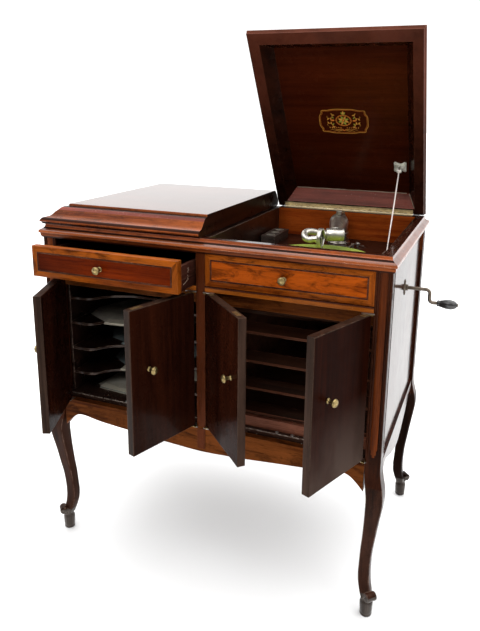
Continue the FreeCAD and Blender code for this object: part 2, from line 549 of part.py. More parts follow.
for k in range(3):
    a = math.radians(90 + 120 * k)
    gv.append(cyl("gv_b%d" % k, 732, 186 + 9 * math.cos(a), 783 + 9 * math.sin(a), 4, 9, "x"))
    gv.append(box("gv_a%d" % k, 724, 748, 186 + 7.2 * math.cos(a) - 1, 186 + 7.2 * math.cos(a) + 1,
                  783 + 7.2 * math.sin(a) - 1, 783 + 7.2 * math.sin(a) + 1))
node("governor", fuse("gov_all", *gv))

# ---- turntable ----
R, tz = D["ttR"], D["ttTop"]
node("turntable", revolve("tt_plate", [(5, 856), (15, 856), (15, tz - 5), (144, tz - 5), (146, tz - 7), (146, 857),
                                       (150.5, 857), (R, 859), (R, tz - 1), (R - 1, tz), (5, tz)], (sx, sy, 0), (0, 0, 1)))
node("turntable_felt", revolve("tt_felt", [(5.2, tz), (R - 1.2, tz), (R - 1.2, tz + 1.5), (R - 2.2, tz + 2.5),
                                           (5.2, tz + 2.5)], (sx, sy, 0), (0, 0, 1)))

# ---- tonearm ----
ux, uy = -0.92, -math.sqrt(1 - 0.92 ** 2)
nx, ny = -uy, ux
zc_ = 912.0
C0 = (705.0, 296.0)


def at(s_, n_, z_=0.0):
    return (C0[0] + s_ * ux + n_ * nx, C0[1] + s_ * uy + n_ * ny, zc_ + z_)


ax_, ay_ = D["armX"], D["armY"]
mid = at(-24, 0)
dx, dy = mid[0] - ax_, mid[1] - ay_
L = math.hypot(dx, dy)
du = (dx / L, dy / L, 0)
br = [cyl("br_f", ax_, ay_, "boardTop", 36, 5), cyl("br_c", ax_, ay_, "boardTop+5", 31, 30),
      box("br_y", ax_ - 16, ax_ + 16, ay_ + 29.5, ay_ + 34.5, "boardTop+5", 938),
      box("br_t", ax_ - 9, ax_ + 9, ay_ - 12, ay_ + 34.5, 935, 938), cyl("br_n", ax_, ay_, 937, 9.5, 10)]
br_a = fuse("br_all", *br)
br_h = cyl("br_h", ax_, ay_, "boardTop-5", 19.2, 45)
node("tonearm_bracket", cut("br_cut", br_a, br_h))
tube = revolve("tube_v", [(0, 852), (19, 852), (19, 886.5), (26.5, 888.5), (27.6, 895), (28.2, 903), (28, 911), (26.8, 918),
                          (24.4, 924), (20.8, 929), (16, 932.6), (10, 933.6), (0, 933.8)], (ax_, ay_, 0), (0, 0, 1))
tube_h = cyl("tube_h", ax_, ay_, 911, 22.5, L - 8, du, 15)
cross = cyl("tube_x", *at(-48, 0), "armR", 48, (ux, uy, 0))
bore_v = cyl("tube_b", ax_, ay_, 851, 14, 52)
node("tonearm_tube", cut("tube_cut", fuse("tube_all", tube, tube_h, cross), bore_v))


def seg(a, b):
    return Part.LineSegment(V(*a), V(*b)).toShape()


# the crook: out of the cross tube, round and back into the soundbox from behind
gr = 8.8
fx, fy, fz = 707.0, 252.0, 910.3        # middle of the soundbox's face, which looks to +X
pts = [at(*q) for q in ((0.3, 0, 0), (16, -0.3, 2.8), (31, -0.6, 7), (45.5, -0.2, 8.3), (56.6, 4.2, 5.5), (61, 15, 0),
                        (57.4, 25.4, -5.6), (48, 30.3, -7.9))] + [(fx - 18, fy, fz - 4)]
bs = Part.BSplineCurve()
bs.interpolate([V(*q) for q in pts], InitialTangent=V(ux, uy, 0), FinalTangent=V(1, 0, 0))
wire = Part.Wire([bs.toShape()])
circ = Part.Wire([Part.Circle(V(*pts[0]), V(ux, uy, 0), gr).toShape()])
crook = wire.makePipeShell([circ], True, False)
goose = doc.addObject("Part::Feature", "goose_tube")
goose.Shape = crook
collar = cyl("goose_c", *at(0.3, 0), 11.5, 5, (ux, uy, 0))
node("gooseneck", fuse("goose_all", goose, collar))
sb = [cyl("sb_b", fx - 12, fy, fz, 26.5, 12, "x"), cyl("sb_h", fx - 18, fy, fz - 4, 11, 6.5, "x"),
      cyl("sb_n", fx - 3, fy, 878, 3.2, 8.5), cyl("sb_p", fx - 3, fy, 872.8, 0.8, 6), box("sb_bar", fx - 4, fx - 1.6, fy - 1.6, fy + 1.6, 884, fz)]
sb_all = fuse("sb_all", *sb)
sb_face = cut("sb_face", cyl("sb_f1", fx - 4, fy, fz, 22, 6, "x"), box("sb_f2", fx - 5, fx - 1.6, fy - 1.6, fy + 1.6, 880, fz))
sb_bore = cyl("sb_bore", fx - 3, fy, 881.4, 1.65, 10, "x")
node("soundbox", cut("sb_cut", sb_all, sb_face, sb_bore))
ns = [cyl("ns_a", fx - 2.6, fy, 881.4, 1.6, 9, "x"), cyl("ns_b", fx + 2.4, fy, 881.4, 2.2, 6, "x")]
node("needle_screw", fuse("ns_all", *ns))

# ---- fittings on the motor board ----
rg = [cyl("rg_s", 759, 458, "boardTop-16", 3, 26), cyl("rg_d", 759, 458, 856, 7.5, 7), box("rg_p", 759, 778, 456.5, 459.5, 853, 856.5)]
node("speed_regulator", fuse("rg_all", *rg))
lv = [cyl("lv_s", 750, 436, "boardTop-16", 3, 30), cyl("lv_h", 750, 436, 860, 6, 4),
      box("lv_a", 747.5, 752.5, 376, 436, 860, 863), box("lv_p", 743, 755, 366, 378, 858.5, 866)]
node("brake_lever", fuse("lv_all", *lv))
nb = [box("nb0", 487, 529, 377, 504, "boardTop", "boardTop+18"), box("nb1", 486, 530, 376, 505, "boardTop+18", "boardTop+26")]
nbh = [cyl("nbh%d" % i, 508, y, 861, 13, 20) for i, y in enumerate((399, 440.5, 482))]
node("needle_block", cut("nb_c", fuse("nb_all", *nb), *nbh))

# ---- lids, built closed ----
LID = [(1.5, 936.4), (0.6, 939), (-0.6, 941.4), (-3.6, 943.4), (-4.1, 945), (-2.6, 947.4), (-0.4, 950.4), (1.2, 952.4),
       (3.5, 953.6), (9.4, 955), (14.4, 957.2), (18.6, 961), (23, 967), (28.5, 972.4), (32, 976.6), (36, 979.8), (39, 980.9),
       (46.2, 981.4), (46.8, 982), (47, 987), (48, 987.9)]
yb, zt = D["lidBack"], D["lidTop"]
back = [(yb, 936.4), (yb + 0.4, 940), (yb + 2, 946), (yb + 1.2, 952), (yb - 2, 958), (yb - 8, 966), (yb - 17, 976.5),
        (yb - 25, 984), (yb - 30.5, zt)]
lid_yz = [(-2 + o, z) for o, z in LID] + [p for p in reversed(back)]


def lid(name, inner, outer, sg, recess, panel):
    k = D["insetSide"] / D["insetFront"]
    side = [(outer - sg * (o if o < 0 else o * k), z) for o, z in LID]
    prof = side + [(inner, zt), (inner, D["lidLow"])]
    a = pad(name + "_a", "XZ_Plane", prof, -20, 640)
    b = pad(name + "_b", "YZ_Plane", lid_yz, -20, 980)
    body = common(name + "_c", a, b)
    (x0, x1, y0, y1), (X0, X1, Y0, Y1) = recess, panel
    zr = D["lidLow"] + D["lidPanel"]
    hol = hexa(name + "_hollow", [(x0, y0, 935.0), (x1, y0, 935.0), (x1, y1, 935.0), (x0, y1, 935.0),
                                  (X0, Y0, zr), (X1, Y0, zr), (X1, Y1, zr), (X0, Y1, zr)])
    lo, hi = (inner + 18, outer - 31) if sg > 0 else (outer + 38, inner - 18)
    r1 = box(name + "_r1", lo, hi, "lidHingeY-19", 600, 930, "lidLow+1.5")
    r2 = box(name + "_r2", lo, hi, "lidHingeY-3.5", 600, 930, "lidLow+3")
    r3 = box(name + "_r3", min(inner, outer) - 6, max(inner, outer) + 6, "lidHingeY-0.6", 600, 930, "lidLow+1.2")
    return cut(name, body, hol, r1, r2, r3)


HY, HZ = D["lidHingeY"], D["lidHingeZ"]
open_r = turn((0, HY, HZ), (-1, 0, 0), D["lidOpen"])
node("lid_right", lid("lid_r", 471, 929, 1, (501, 902, 30, 560), (526, 880, 61, 534)), open_r)
node("lid_left", lid("lid_l", 467, -2, -1, (31, 437, 29, 562), (58, 404, 67, 530)))


def hinge(name, x0, x1, rest):
    n = 9
    w = (x1 - x0) / n
    case = [box(name + "_cl", x0, x1, HY - 14.8, HY - 3.6, HZ - 1.6, HZ - 0.4)]
    leaf = [box(name + "_ll", x0, x1, HY - 17.5, HY - 3.6, HZ + 0.4, HZ + 1.6)]
    holes = []
    for i in range(n):
        a, b = x0 + i * w + 0.2, x0 + (i + 1) * w - 0.2
        if i % 2 == 0:
            case += [cyl(name + "_k%d" % i, a, HY, HZ, 2.5, b - a, "x"),
                     box(name + "_j%d" % i, a, b, HY - 4, HY, HZ - 1.6, HZ - 0.4)]
        else:
            leaf += [cyl(name + "_k%d" % i, a, HY, HZ, 2.5, b - a, "x"),
                     box(name + "_j%d" % i, a, b, HY - 4, HY, HZ + 0.4, HZ + 1.6)]
    case.append(cyl(name + "_pin", x0 + 0.2, HY, HZ, 1.2, x1 - x0 - 0.4, "x"))
    bore = cyl(name + "_bore", x0 - 1, HY, HZ, 1.26, x1 - x0 + 2, "x")
    return fuse(name + "_case", *case), cut(name + "_leaf", fuse(name + "_lf", *leaf), bore)


c1, l1 = hinge("hin_r", 492, 896, True)
c2, l2 = hinge("hin_l", 42, 446, False)
node("lid_hinge_case_leaves", group("hinge_case", c1, c2))
node("lid_hinge_leaf_right", l1, open_r)
node("lid_hinge_leaf_left", l2)

# ---- lid stay ----
SX = D["stayX"]
py, pz = HY - 145, 956.0
zr = D["lidLow"] + D["lidPanel"]
sb_ = [box("sb_pl", SX - 12.5, SX + 12.5, py - 10.5, py + 10.5, zr - 2, zr),
       box("sb_e1", SX - 6, SX - 2.8, py - 6, py + 6, pz - 5, zr - 2),
       box("sb_e2", SX + 2.8, SX + 6, py - 6, py + 6, pz - 5, zr - 2),
       cyl("sb_pin", SX - 8, py, pz, 2, 16, "x")]
for i, (sx_, sy_) in enumerate(((-1, -1), (-1, 1), (1, -1), (1, 1))):
    sb_.append(cyl("sb_l%d" % i, SX + sx_ * 11.5, py + sy_ * 9.5, zr - 2, 4, 2))
node("lid_stay_bracket", fuse("sb_all2", *sb_), open_r)
th = math.radians(D["lidOpen"])
ry, rz = py - HY, pz - HZ
P0 = (SX, HY + ry * math.cos(th) + rz * math.sin(th), HZ - ry * math.sin(th) + rz * math.cos(th))
G = (SX, 402.0, 868.0)
LR = math.hypot(G[1] - P0[1], G[2] - P0[2])
rd = (0, (G[1] - P0[1]) / LR, (G[2] - P0[2]) / LR)
eye = cyl("rod_eye", SX - 2.3, P0[1], P0[2], 5.5, 4.6, "x")
rodc = cyl("rod_c", SX, P0[1] + rd[1] * 3, P0[2] + rd[2] * 3, 1.9, 257, rd)
eye_b = cyl("rod_b", SX - 4, P0[1], P0[2], 2.06, 8, "x")
node("lid_stay_rod", cut("rod_cut", fuse("rod_all", eye, rodc), eye_b))
gp = [box("gp_p", SX - 12, SX + 12, 350, 430, "boardTop", "boardTop+2"),
      cyl("gp_1", SX, 356, "boardTop+1", 3, 2.2), cyl("gp_2", SX, 424, "boardTop+1", 3, 2.2)]
gp_s = box("gp_s", SX - 5, SX + 5, 365, 415, "boardTop-1", "boardTop+3")
node("lid_stay_guide", cut("gp_cut", fuse("gp_all", *gp), gp_s))

# ---- winding crank ----
cy_, cz_ = D["crankY"], D["crankZ"]
xp = W - D["panIn"]
dia = pad("esc_d", "YZ_Plane", [(cy_ - 15, cz_), (cy_, cz_ - 21), (cy_ + 15, cz_), (cy_, cz_ + 21)], xp, 2)
boss = cyl("esc_b", xp, cy_, cz_, 8, 9, "x")
sc1, sc2 = cyl("esc_1", xp, cy_, cz_ - 14.5, 2, 3, "x"), cyl("esc_2", xp, cy_, cz_ + 14.5, 2, 3, "x")
e_b = cyl("esc_h", xp - 2, cy_, cz_, "crankR+0.06", 14, "x")
node("crank_escutcheon", cut("esc_cut", fuse("esc_all", dia, boss, sc1, sc2), e_b))
cd = D["crankDrop"]
rb = 10.0
q0, q1, q2, q3, q4, q5 = (976, cz_), (982, cz_), (982 + rb, cz_ - rb), (992, cz_ - cd + rb), (1002, cz_ - cd), (1010, cz_ - cd)


def P(q):
    return (q[0], cy_, q[1])


c45 = rb * (1 - math.sqrt(0.5))
m1 = (982 + rb * math.sqrt(0.5), cz_ - c45)
m2 = (1002 - rb * math.sqrt(0.5), cz_ - cd + c45)
cw = Part.Wire([seg(P(q0), P(q1)), Part.Arc(V(*P(q1)), V(*P(m1)), V(*P(q2))).toShape(), seg(P(q2), P(q3)),
                Part.Arc(V(*P(q3)), V(*P(m2)), V(*P(q4))).toShape(), seg(P(q4), P(q5))])
cc = Part.Wire([Part.Circle(V(*P(q0)), V(1, 0, 0), 4.5).toShape()])
bend = doc.addObject("Part::Feature", "crank_bend")
bend.Shape = cw.makePipeShell([cc], True, False)
shaft = cyl("crank_s", 796, cy_, cz_, "crankR", 181, "x")
rod = cyl("crank_r", 1009, cy_, cz_ - cd, 3.5, 53, "x")
nut = cyl("crank_n", 1060.5, cy_, cz_ - cd, 5, 2.5, "x")
node("crank_shaft", fuse("crank_all", shaft, bend, rod, nut, g_small))
GRIP = [(3.56, 0.3), (7, 0.3), (8.6, 3), (8.2, 7), (9.4, 12), (11.6, 20), (12.6, 28), (12.4, 35), (11, 41), (8.6, 46),
        (6.5, 48.7), (3.56, 48.7)]
node("crank_grip", revolve("grip", GRIP, (1011.2, cy_, cz_ - cd), (1, 0, 0)))

# ---- place, check and write every piece ----
doc.recompute()
for label, o, move, base in NODES:
    o.Placement = move.multiply(base)
doc.recompute()
bad = [o.Name for o in doc.Objects if "Invalid" in o.State or "Error" in o.State]
for label, o, move, base in NODES:
    if o.Shape.isNull() or not o.Shape.isValid() or o.Shape.Volume <= 0:
        bad.append(label)
if bad:
    raise RuntimeError("failed: " + ", ".join(bad))
os.makedirs("parts", exist_ok=True)
box_all = FreeCAD.BoundBox()
for label, o, move, base in NODES:
    box_all.add(o.Shape.BoundBox)
    o.Shape.exportStep("parts/%s.step" % label)
print(len(NODES), "pieces", box_all)
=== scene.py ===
import bpy, bmesh, json, math, random
from mathutils import Vector, Matrix, noise as mnoise


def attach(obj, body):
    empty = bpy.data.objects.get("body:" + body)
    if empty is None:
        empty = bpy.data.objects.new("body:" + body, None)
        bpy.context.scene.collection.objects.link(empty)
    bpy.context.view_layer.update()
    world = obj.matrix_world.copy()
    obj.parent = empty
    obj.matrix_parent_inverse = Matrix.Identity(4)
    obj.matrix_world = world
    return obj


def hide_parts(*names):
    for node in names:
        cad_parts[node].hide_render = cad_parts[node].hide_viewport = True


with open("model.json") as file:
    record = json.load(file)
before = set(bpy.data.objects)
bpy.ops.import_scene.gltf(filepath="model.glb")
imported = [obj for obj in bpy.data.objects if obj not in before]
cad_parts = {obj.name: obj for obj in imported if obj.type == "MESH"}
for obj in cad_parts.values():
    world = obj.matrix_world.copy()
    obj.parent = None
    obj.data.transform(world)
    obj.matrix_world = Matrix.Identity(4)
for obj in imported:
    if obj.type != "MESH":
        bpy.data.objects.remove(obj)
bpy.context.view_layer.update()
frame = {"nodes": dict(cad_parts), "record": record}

OX, OY = 524.95, 204.27          # cabinet frame to row frame, mm
NODES = frame["nodes"]
random.seed(7)


def W(x, y, z):
    """A point of the cabinet frame (mm) in the row frame (m)."""
    return Vector(((x - OX) / 1000.0, (y - OY) / 1000.0, z / 1000.0))


BODY_OF = {}
for b_, members_ in frame["record"]["behaviour"]["bodies"].items():
    for m_ in members_:
        BODY_OF[m_] = b_

# ------------------------------------------------------------------ materials


class Mat:
    def __init__(self, name):
        self.m = bpy.data.materials.new(name)
        self.m.use_nodes = True
        self.t = self.m.node_tree
        self.t.nodes.clear()
        self.out = self.t.nodes.new("ShaderNodeOutputMaterial")
        self.b = self.t.nodes.new("ShaderNodeBsdfPrincipled")
        self.t.links.new(self.b.outputs[0], self.out.inputs[0])
        self.tc = self.t.nodes.new("ShaderNodeTexCoord")

    def node(self, kind, **kw):
        n = self.t.nodes.new("ShaderNode" + kind)
        for k, v in kw.items():
            setattr(n, k, v)
        return n

    def link(self, a, b):
        self.t.links.new(a, b)

    def set(self, n, **kw):
        for k, v in kw.items():
            n.inputs[k.replace("_", " ")].default_value = v
        return n

    def mapping(self, scale=(1, 1, 1), loc=(0, 0, 0), rot=(0, 0, 0), src=None):
        n = self.node("Mapping")
        n.inputs["Scale"].default_value = scale
        n.inputs["Location"].default_value = loc
        n.inputs["Rotation"].default_value = rot
        self.link(src or self.tc.outputs["Object"], n.inputs["Vector"])
        return n.outputs[0]

    def noise(self, vec, scale=1.0, detail=4.0, rough=0.55, dist=0.0, lac=2.0):
        n = self.node("TexNoise")
        self.set(n, Scale=scale, Detail=detail, Roughness=rough, Distortion=dist)
        self.link(vec, n.inputs["Vector"])
        return n.outputs["Fac"]

    def math(self, op, a, b=None, clamp=False):
        n = self.node("Math", operation=op, use_clamp=clamp)
        for i, v in enumerate((a, b)):
            if v is None:
                continue
            if isinstance(v, (int, float)):
                n.inputs[i].default_value = v
            else:
                self.link(v, n.inputs[i])
        return n.outputs[0]

    def ramp(self, fac, stops, interp="LINEAR"):
        n = self.node("ValToRGB")
        n.color_ramp.interpolation = interp
        els = n.color_ramp.elements
        while len(els) > 1:
            els.remove(els[-1])
        first = True
        for p, c in stops:
            if first:
                e = els[0]
                e.position = p
                first = False
            else:
                e = els.new(p)
            e.color = (c, c, c, 1) if isinstance(c, (int, float)) else (*c, 1)
        self.link(fac, n.inputs["Fac"])
        return n.outputs["Color"]

    def mix(self, fac, a, b, mode="MIX"):
        n = self.node("Mix", data_type="RGBA", blend_type=mode)
        if isinstance(fac, (int, float)):
            n.inputs["Factor"].default_value = fac
        else:
            self.link(fac, n.inputs["Factor"])
        for key, v in (("A", a), ("B", b)):
            s = [i for i in n.inputs if i.name == key and i.type == "RGBA"][0]
            if isinstance(v, tuple):
                s.default_value = (*v, 1)
            else:
                self.link(v, s)
        return [o for o in n.outputs if o.type == "RGBA"][0]

    def map(self, v, a0, a1, b0, b1):
        n = self.node("MapRange")
        n.clamp = True
        self.link(v, n.inputs["Value"])
        for k, x in (("From Min", a0), ("From Max", a1), ("To Min", b0), ("To Max", b1)):
            n.inputs[k].default_value = x
        return n.outputs[0]

    def edge(self, radius):
        """1 near sharp edges, 0 on open faces."""
        bv = self.node("Bevel", samples=4)
        bv.inputs["Radius"].default_value = radius
        g = self.node("NewGeometry")
        d = self.node("VectorMath", operation="DOT_PRODUCT")
        self.link(bv.outputs[0], d.inputs[0])
        self.link(g.outputs["Normal"], d.inputs[1])
        return self.map(d.outputs["Value"], 0.995, 0.86, 0.0, 1.0)

    def bump(self, height, strength=0.2, dist=0.001, normal=None):
        n = self.node("Bump")
        n.inputs["Strength"].default_value = strength
        n.inputs["Distance"].default_value = dist
        self.link(height, n.inputs["Height"])
        if normal is not None:
            self.link(normal, n.inputs["Normal"])
        return n.outputs[0]

    def finish(self, color=None, rough=None, normal=None, **const):
        if color is not None:
            if isinstance(color, tuple):
                self.b.inputs["Base Color"].default_value = (*color, 1)
            else:
                self.link(color, self.b.inputs["Base Color"])
        if rough is not None:
            if isinstance(rough, (int, float)):
                self.b.inputs["Roughness"].default_value = rough
            else:
                self.link(rough, self.b.inputs["Roughness"])
        if normal is not None:
            self.link(normal, self.b.inputs["Normal"])
        for k, v in const.items():
            self.b.inputs[k.replace("_", " ")].default_value = v
        return self.m


def grain_scale(axis, perp, along):
    return tuple(along if a == axis else perp for a in "XYZ")


def wood(name, deep, mid, light, axis="Z", seed=0.0, coat=0.55, coat_rough=0.07, rough=(0.24, 0.42), wear_and_highlight=0.5,
         wear_and_highlight_col=(0.42, 0.17, 0.06), figure=1.0, pores=1.0, dirt=0.5, edge_r=0.0016, spec=0.5, coat_ior=1.5, ior=1.48,
         bump=1.0, smudge=0.0, chips=0.0, tint=(1.0, 0.62, 0.42), flat_coat=False, contrast=1.0,
         painted_sheen_band=None, across=None):
    m = Mat(name)
    off = (seed * 1.37, seed * 0.71, seed * 2.11)
    warp = m.mapping(scale=grain_scale(axis, 5.0, 1.2), loc=off)
    w1 = m.noise(warp, 1.0, 3.0, 0.5)
    # slow figure, running along the grain
    fig = m.noise(m.mapping(scale=grain_scale(axis, 16.0, 1.7), loc=off), 1.0, 5.0, 0.6, 0.8)
    band = m.noise(m.mapping(scale=grain_scale(axis, 70.0, 2.2), loc=off), 1.0, 4.0, 0.55, 0.25)
    fine = m.noise(m.mapping(scale=grain_scale(axis, 420.0, 9.0), loc=off), 1.0, 3.0, 0.6)
    por = m.noise(m.mapping(scale=grain_scale(axis, 1500.0, 46.0), loc=off), 1.0, 2.0, 0.5)
    f = m.math("ADD", m.math("MULTIPLY", fig, 0.5 * figure), m.math("MULTIPLY", band, 0.34))
    f = m.math("ADD", f, m.math("MULTIPLY", fine, 0.2))
    f = m.math("ADD", f, m.math("MULTIPLY", w1, 0.18 * figure))
    half = 0.18 * max(figure, 0.5)
    f = m.map(f, 0.36, 0.36 + 2 * half, 0.5 - 0.5 * contrast, 0.5 + 0.5 * contrast)
    col = m.ramp(f, [(0.0, deep), (0.42, mid), (0.78, light), (1.0, tuple(min(1, c * 1.18) for c in light))])
    pm = m.map(por, 0.60, 0.72, 0.0, 0.75 * pores)
    col = m.mix(pm, col, tuple(c * 0.35 for c in deep))
    # darkened old polish in patches
    pat = m.noise(m.mapping(scale=(3.1, 3.1, 3.1), loc=off), 1.0, 4.0, 0.6)
    pat = m.map(pat, 0.46, 0.74, 0.0, dirt)
    col = m.mix(pat, col, tuple(c * 0.5 for c in deep))
    if smudge:
        # drifting dark blots, longer along the grain
        sm1 = m.noise(m.mapping(scale=grain_scale(axis, 38.0, 11.0), loc=off), 1.0, 4.0, 0.7, 1.2)
        sm1 = m.map(sm1, 0.50, 0.66, 0.0, smudge)
        col = m.mix(sm1, col, tuple(c * 0.6 for c in deep))
    # lighter edges: edge wear, and on the legs, door edges and shelf fronts also a painted highlight along the edges
    e = m.edge(edge_r)
    en = m.noise(m.mapping(scale=(60, 60, 60), loc=off), 1.0, 4.0, 0.65)
    em = m.math("MULTIPLY", e, m.map(en, 0.42, 0.66, 0.0, wear_and_highlight))
    col = m.mix(em, col, wear_and_highlight_col)
    # fine scratches and specks
    scr = m.noise(m.mapping(scale=(900, 260, 700), loc=off), 1.0, 1.0, 0.5)
    sm = m.map(scr, 0.73, 0.8, 0.0, 0.35 * wear_and_highlight)
    col = m.mix(sm, col, wear_and_highlight_col)
    if painted_sheen_band:
        # painted sheen: the colour is drawn towards a lighter tone over a band of heights, broken up by a slow noise;
        # low on the doors it is a painted reflection of the floor, high on the opened lid's rails a painted reddish
        # sheen
        sz = m.node("SeparateXYZ")
        m.link(m.tc.outputs["Object"], sz.inputs[0])
        hz = m.map(sz.outputs["Z"], painted_sheen_band[0], painted_sheen_band[1], painted_sheen_band[3], 0.0)
        painted_sheen_noise = m.noise(m.mapping(scale=(9, 9, 5), loc=off), 1.0, 3.0, 0.6)
        col = m.mix(m.math("MULTIPLY", hz, m.map(painted_sheen_noise, 0.3, 0.62, 0.35, 1.0)), col, painted_sheen_band[2])
    if across:
        # one end darker than the other
        sx_ = m.node("SeparateXYZ")
        m.link(m.tc.outputs["Object"], sx_.inputs[0])
        ax_ = m.map(sx_.outputs["X"], across[0], across[1], across[2], 0.0)
        an_ = m.noise(m.mapping(scale=(7, 7, 16), loc=off), 1.0, 3.0, 0.6)
        col = m.mix(m.math("MULTIPLY", ax_, m.map(an_, 0.25, 0.6, 0.5, 1.0)), col, tuple(c * 0.9 for c in deep))
    if chips:
        ch = m.noise(m.mapping(scale=(170, 170, 260), loc=off), 1.0, 3.0, 0.6)
        ch = m.map(ch, 0.68, 0.72, 0.0, chips)
        col = m.mix(ch, col, tuple(min(1, c * 1.3 + 0.02) for c in wear_and_highlight_col))
    rn = m.noise(m.mapping(scale=(24, 24, 24), loc=off), 1.0, 5.0, 0.62)
    r = m.map(rn, 0.3, 0.7, rough[0], rough[1])
    r = m.math("ADD", r, m.math("MULTIPLY", em, 0.22))
    hgt = m.math("SUBTRACT", m.math("MULTIPLY", fine, 0.35), m.math("MULTIPLY", pm, 0.9))
    n1 = m.bump(hgt, 0.22 * bump, 0.00025)
    slow = m.noise(m.mapping(scale=(13, 13, 13), loc=off), 1.0, 2.0, 0.5)
    n2 = m.bump(slow, 0.12 * bump, 0.0025, n1)
    if not flat_coat:
        m.link(n2, m.b.inputs["Coat Normal"])
    m.b.inputs["Specular Tint"].default_value = tuple(tint) + (1.0,)
    return m.finish(col, r, n1 if flat_coat else n2, Coat_Weight=coat, Coat_Roughness=coat_rough, Coat_IOR=coat_ior, IOR=ior,
                    Specular_IOR_Level=spec)


def metal(name, base, dark, rough=(0.16, 0.34), tarnish=0.45, scale=1.0, brushed=None, edge_r=0.0008, spots=0.4, metallic=1.0):
    m = Mat(name)
    n0 = m.noise(m.mapping(scale=(40 * scale,) * 3), 1.0, 5.0, 0.62)
    n1 = m.noise(m.mapping(scale=(260 * scale,) * 3), 1.0, 4.0, 0.6)
    t = m.map(n0, 0.42, 0.68, 0.0, tarnish)
    sp = m.map(n1, 0.62, 0.74, 0.0, spots)
    t = m.math("MAXIMUM", t, sp)
    col = m.mix(t, base, dark)
    e = m.edge(edge_r)
    col = m.mix(m.math("MULTIPLY", e, 0.4), col, tuple(min(1, c * 1.25) for c in base))
    r = m.map(n0, 0.3, 0.7, rough[0], rough[1])
    r = m.math("ADD", r, m.math("MULTIPLY", t, 0.25))
    h = m.math("ADD", m.math("MULTIPLY", n1, 0.4), m.math("MULTIPLY", n0, 0.3))
    if brushed:
        br = m.noise(m.mapping(scale=brushed), 1.0, 2.0, 0.5)
        h = m.math("ADD", h, m.math("MULTIPLY", br, 0.5))
        r = m.math("ADD", r, m.map(br, 0.3, 0.7, -0.04, 0.08))
    n = m.bump(h, 0.16, 0.0002)
    return m.finish(col, r, n, Metallic=metallic)


def felt(name):
    m = Mat(name)
    n0 = m.noise(m.mapping(scale=(9, 9, 9)), 1.0, 4.0, 0.6)
    n1 = m.noise(m.mapping(scale=(1300, 1300, 1300)), 1.0, 3.0, 0.6)
    n2 = m.noise(m.mapping(scale=(160, 160, 160)), 1.0, 5.0, 0.7)
    f = m.math("ADD", m.math("MULTIPLY", n0, 0.5), m.math("MULTIPLY", n1, 0.5))
    col = m.ramp(f, [(0.3, (0.10, 0.145, 0.012)), (0.52, (0.27, 0.34, 0.03)), (0.75, (0.46, 0.50, 0.07))])
    col = m.mix(m.map(n2, 0.6, 0.75, 0, 0.4), col, (0.5, 0.5, 0.22))
    n = m.bump(m.math("ADD", n1, m.math("MULTIPLY", n2, 0.6)), 0.5, 0.0005)
    return m.finish(col, 0.93, n, Sheen_Weight=0.6, Sheen_Roughness=0.4, Sheen_Tint=(0.8, 0.9, 0.4, 1), Specular_IOR_Level=0.2)


def paper(name, a=(0.42, 0.38, 0.29), b=(0.62, 0.58, 0.47)):
    m = Mat(name)
    n0 = m.noise(m.mapping(scale=(14, 14, 60)), 1.0, 6.0, 0.6)
    n1 = m.noise(m.mapping(scale=(700, 90, 700)), 1.0, 3.0, 0.6)
    col = m.ramp(n0, [(0.3, a), (0.7, b)])
    col = m.mix(m.map(n1, 0.6, 0.8, 0, 0.35), col, tuple(c * 0.55 for c in a))
    n = m.bump(m.math("ADD", n0, m.math("MULTIPLY", n1, 0.3)), 0.4, 0.0012)
    return m.finish(col, 0.85, n, Specular_IOR_Level=0.25)


# ------------------------------------------------------------------ geometry helpers
COL = bpy.context.scene.collection


def sharpen(me, angle=32):
    me.shade_smooth()
    me.set_sharp_from_angle(angle=math.radians(angle))


def settle(o, angle=32):
    """Apply an object's modifiers to its mesh."""
    dg = bpy.context.evaluated_depsgraph_get()
    dg.update()
    me = bpy.data.meshes.new_from_object(o.evaluated_get(dg), preserve_all_data_layers=True, depsgraph=dg)
    o.modifiers.clear()
    old = o.data
    o.data = me
    bpy.data.meshes.remove(old)
    return o


def dress(node, mat, width=0.0008, seg=2, angle=30, name=None):
    """A piece with the node's own shape and softened edges, which stands for the node."""
    me = NODES[node].data.copy()
    bm = bmesh.new()
    bm.from_mesh(me)
    bmesh.ops.remove_doubles(bm, verts=bm.verts, dist=2e-6)
    bmesh.ops.dissolve_limit(bm, angle_limit=math.radians(0.6), verts=bm.verts, edges=bm.edges)
    bm.to_mesh(me)
    bm.free()
    me.materials.clear()
    me.materials.append(mat)
    o = bpy.data.objects.new(name or ("v_" + node), me)
    COL.objects.link(o)
    me.attributes.get("custom_normal") and me.attributes.remove(me.attributes["custom_normal"])
    sharpen(me, angle)
    if width > 0:
        md = o.modifiers.new("bevel", "BEVEL")
        md.width = width
        md.segments = seg
        md.limit_method = "ANGLE"
        md.angle_limit = math.radians(angle)
        md.use_clamp_overlap = True
        md.harden_normals = False
        settle(o)
        o.data.shade_smooth()
        o.data.set_sharp_from_angle(angle=math.radians(50))
        me = o.data
        for p in me.polygons:
            vs = [me.vertices[i].co for i in p.vertices]
            longest = max((vs[i] - vs[i - 1]).length for i in range(len(vs)))
            if p.area / max(longest, 1e-6) > 0.030:
                p.use_smooth = False
        wn = o.modifiers.new("wn", "WEIGHTED_NORMAL")
        wn.keep_sharp = True
        wn.weight = 80
        settle(o)
    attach(o, BODY_OF[node])
    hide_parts(node)
    return o


def split(o, mats, rule, inv=None):
    """Give faces of a dressed piece other finishes: rule(x, y, z, normal) in cabinet mm returns a slot number."""
    me = o.data
    for m_ in mats:
        me.materials.append(m_)
    rot_ = inv.to_3x3() if inv else None
    for p in me.polygons:
        c, n = p.center, p.normal
        if inv:
            c, n = inv @ c, rot_ @ n
        p.material_index = rule(c.x * 1000 + OX, c.y * 1000 + OY, c.z * 1000, n)


def paint(node, mat):
    """Keep the node's own shape and give it a finish."""
    o = NODES[node]
    if not o.material_slots:
        o.data.materials.append(mat)
    for s in o.material_slots:
        s.material = mat


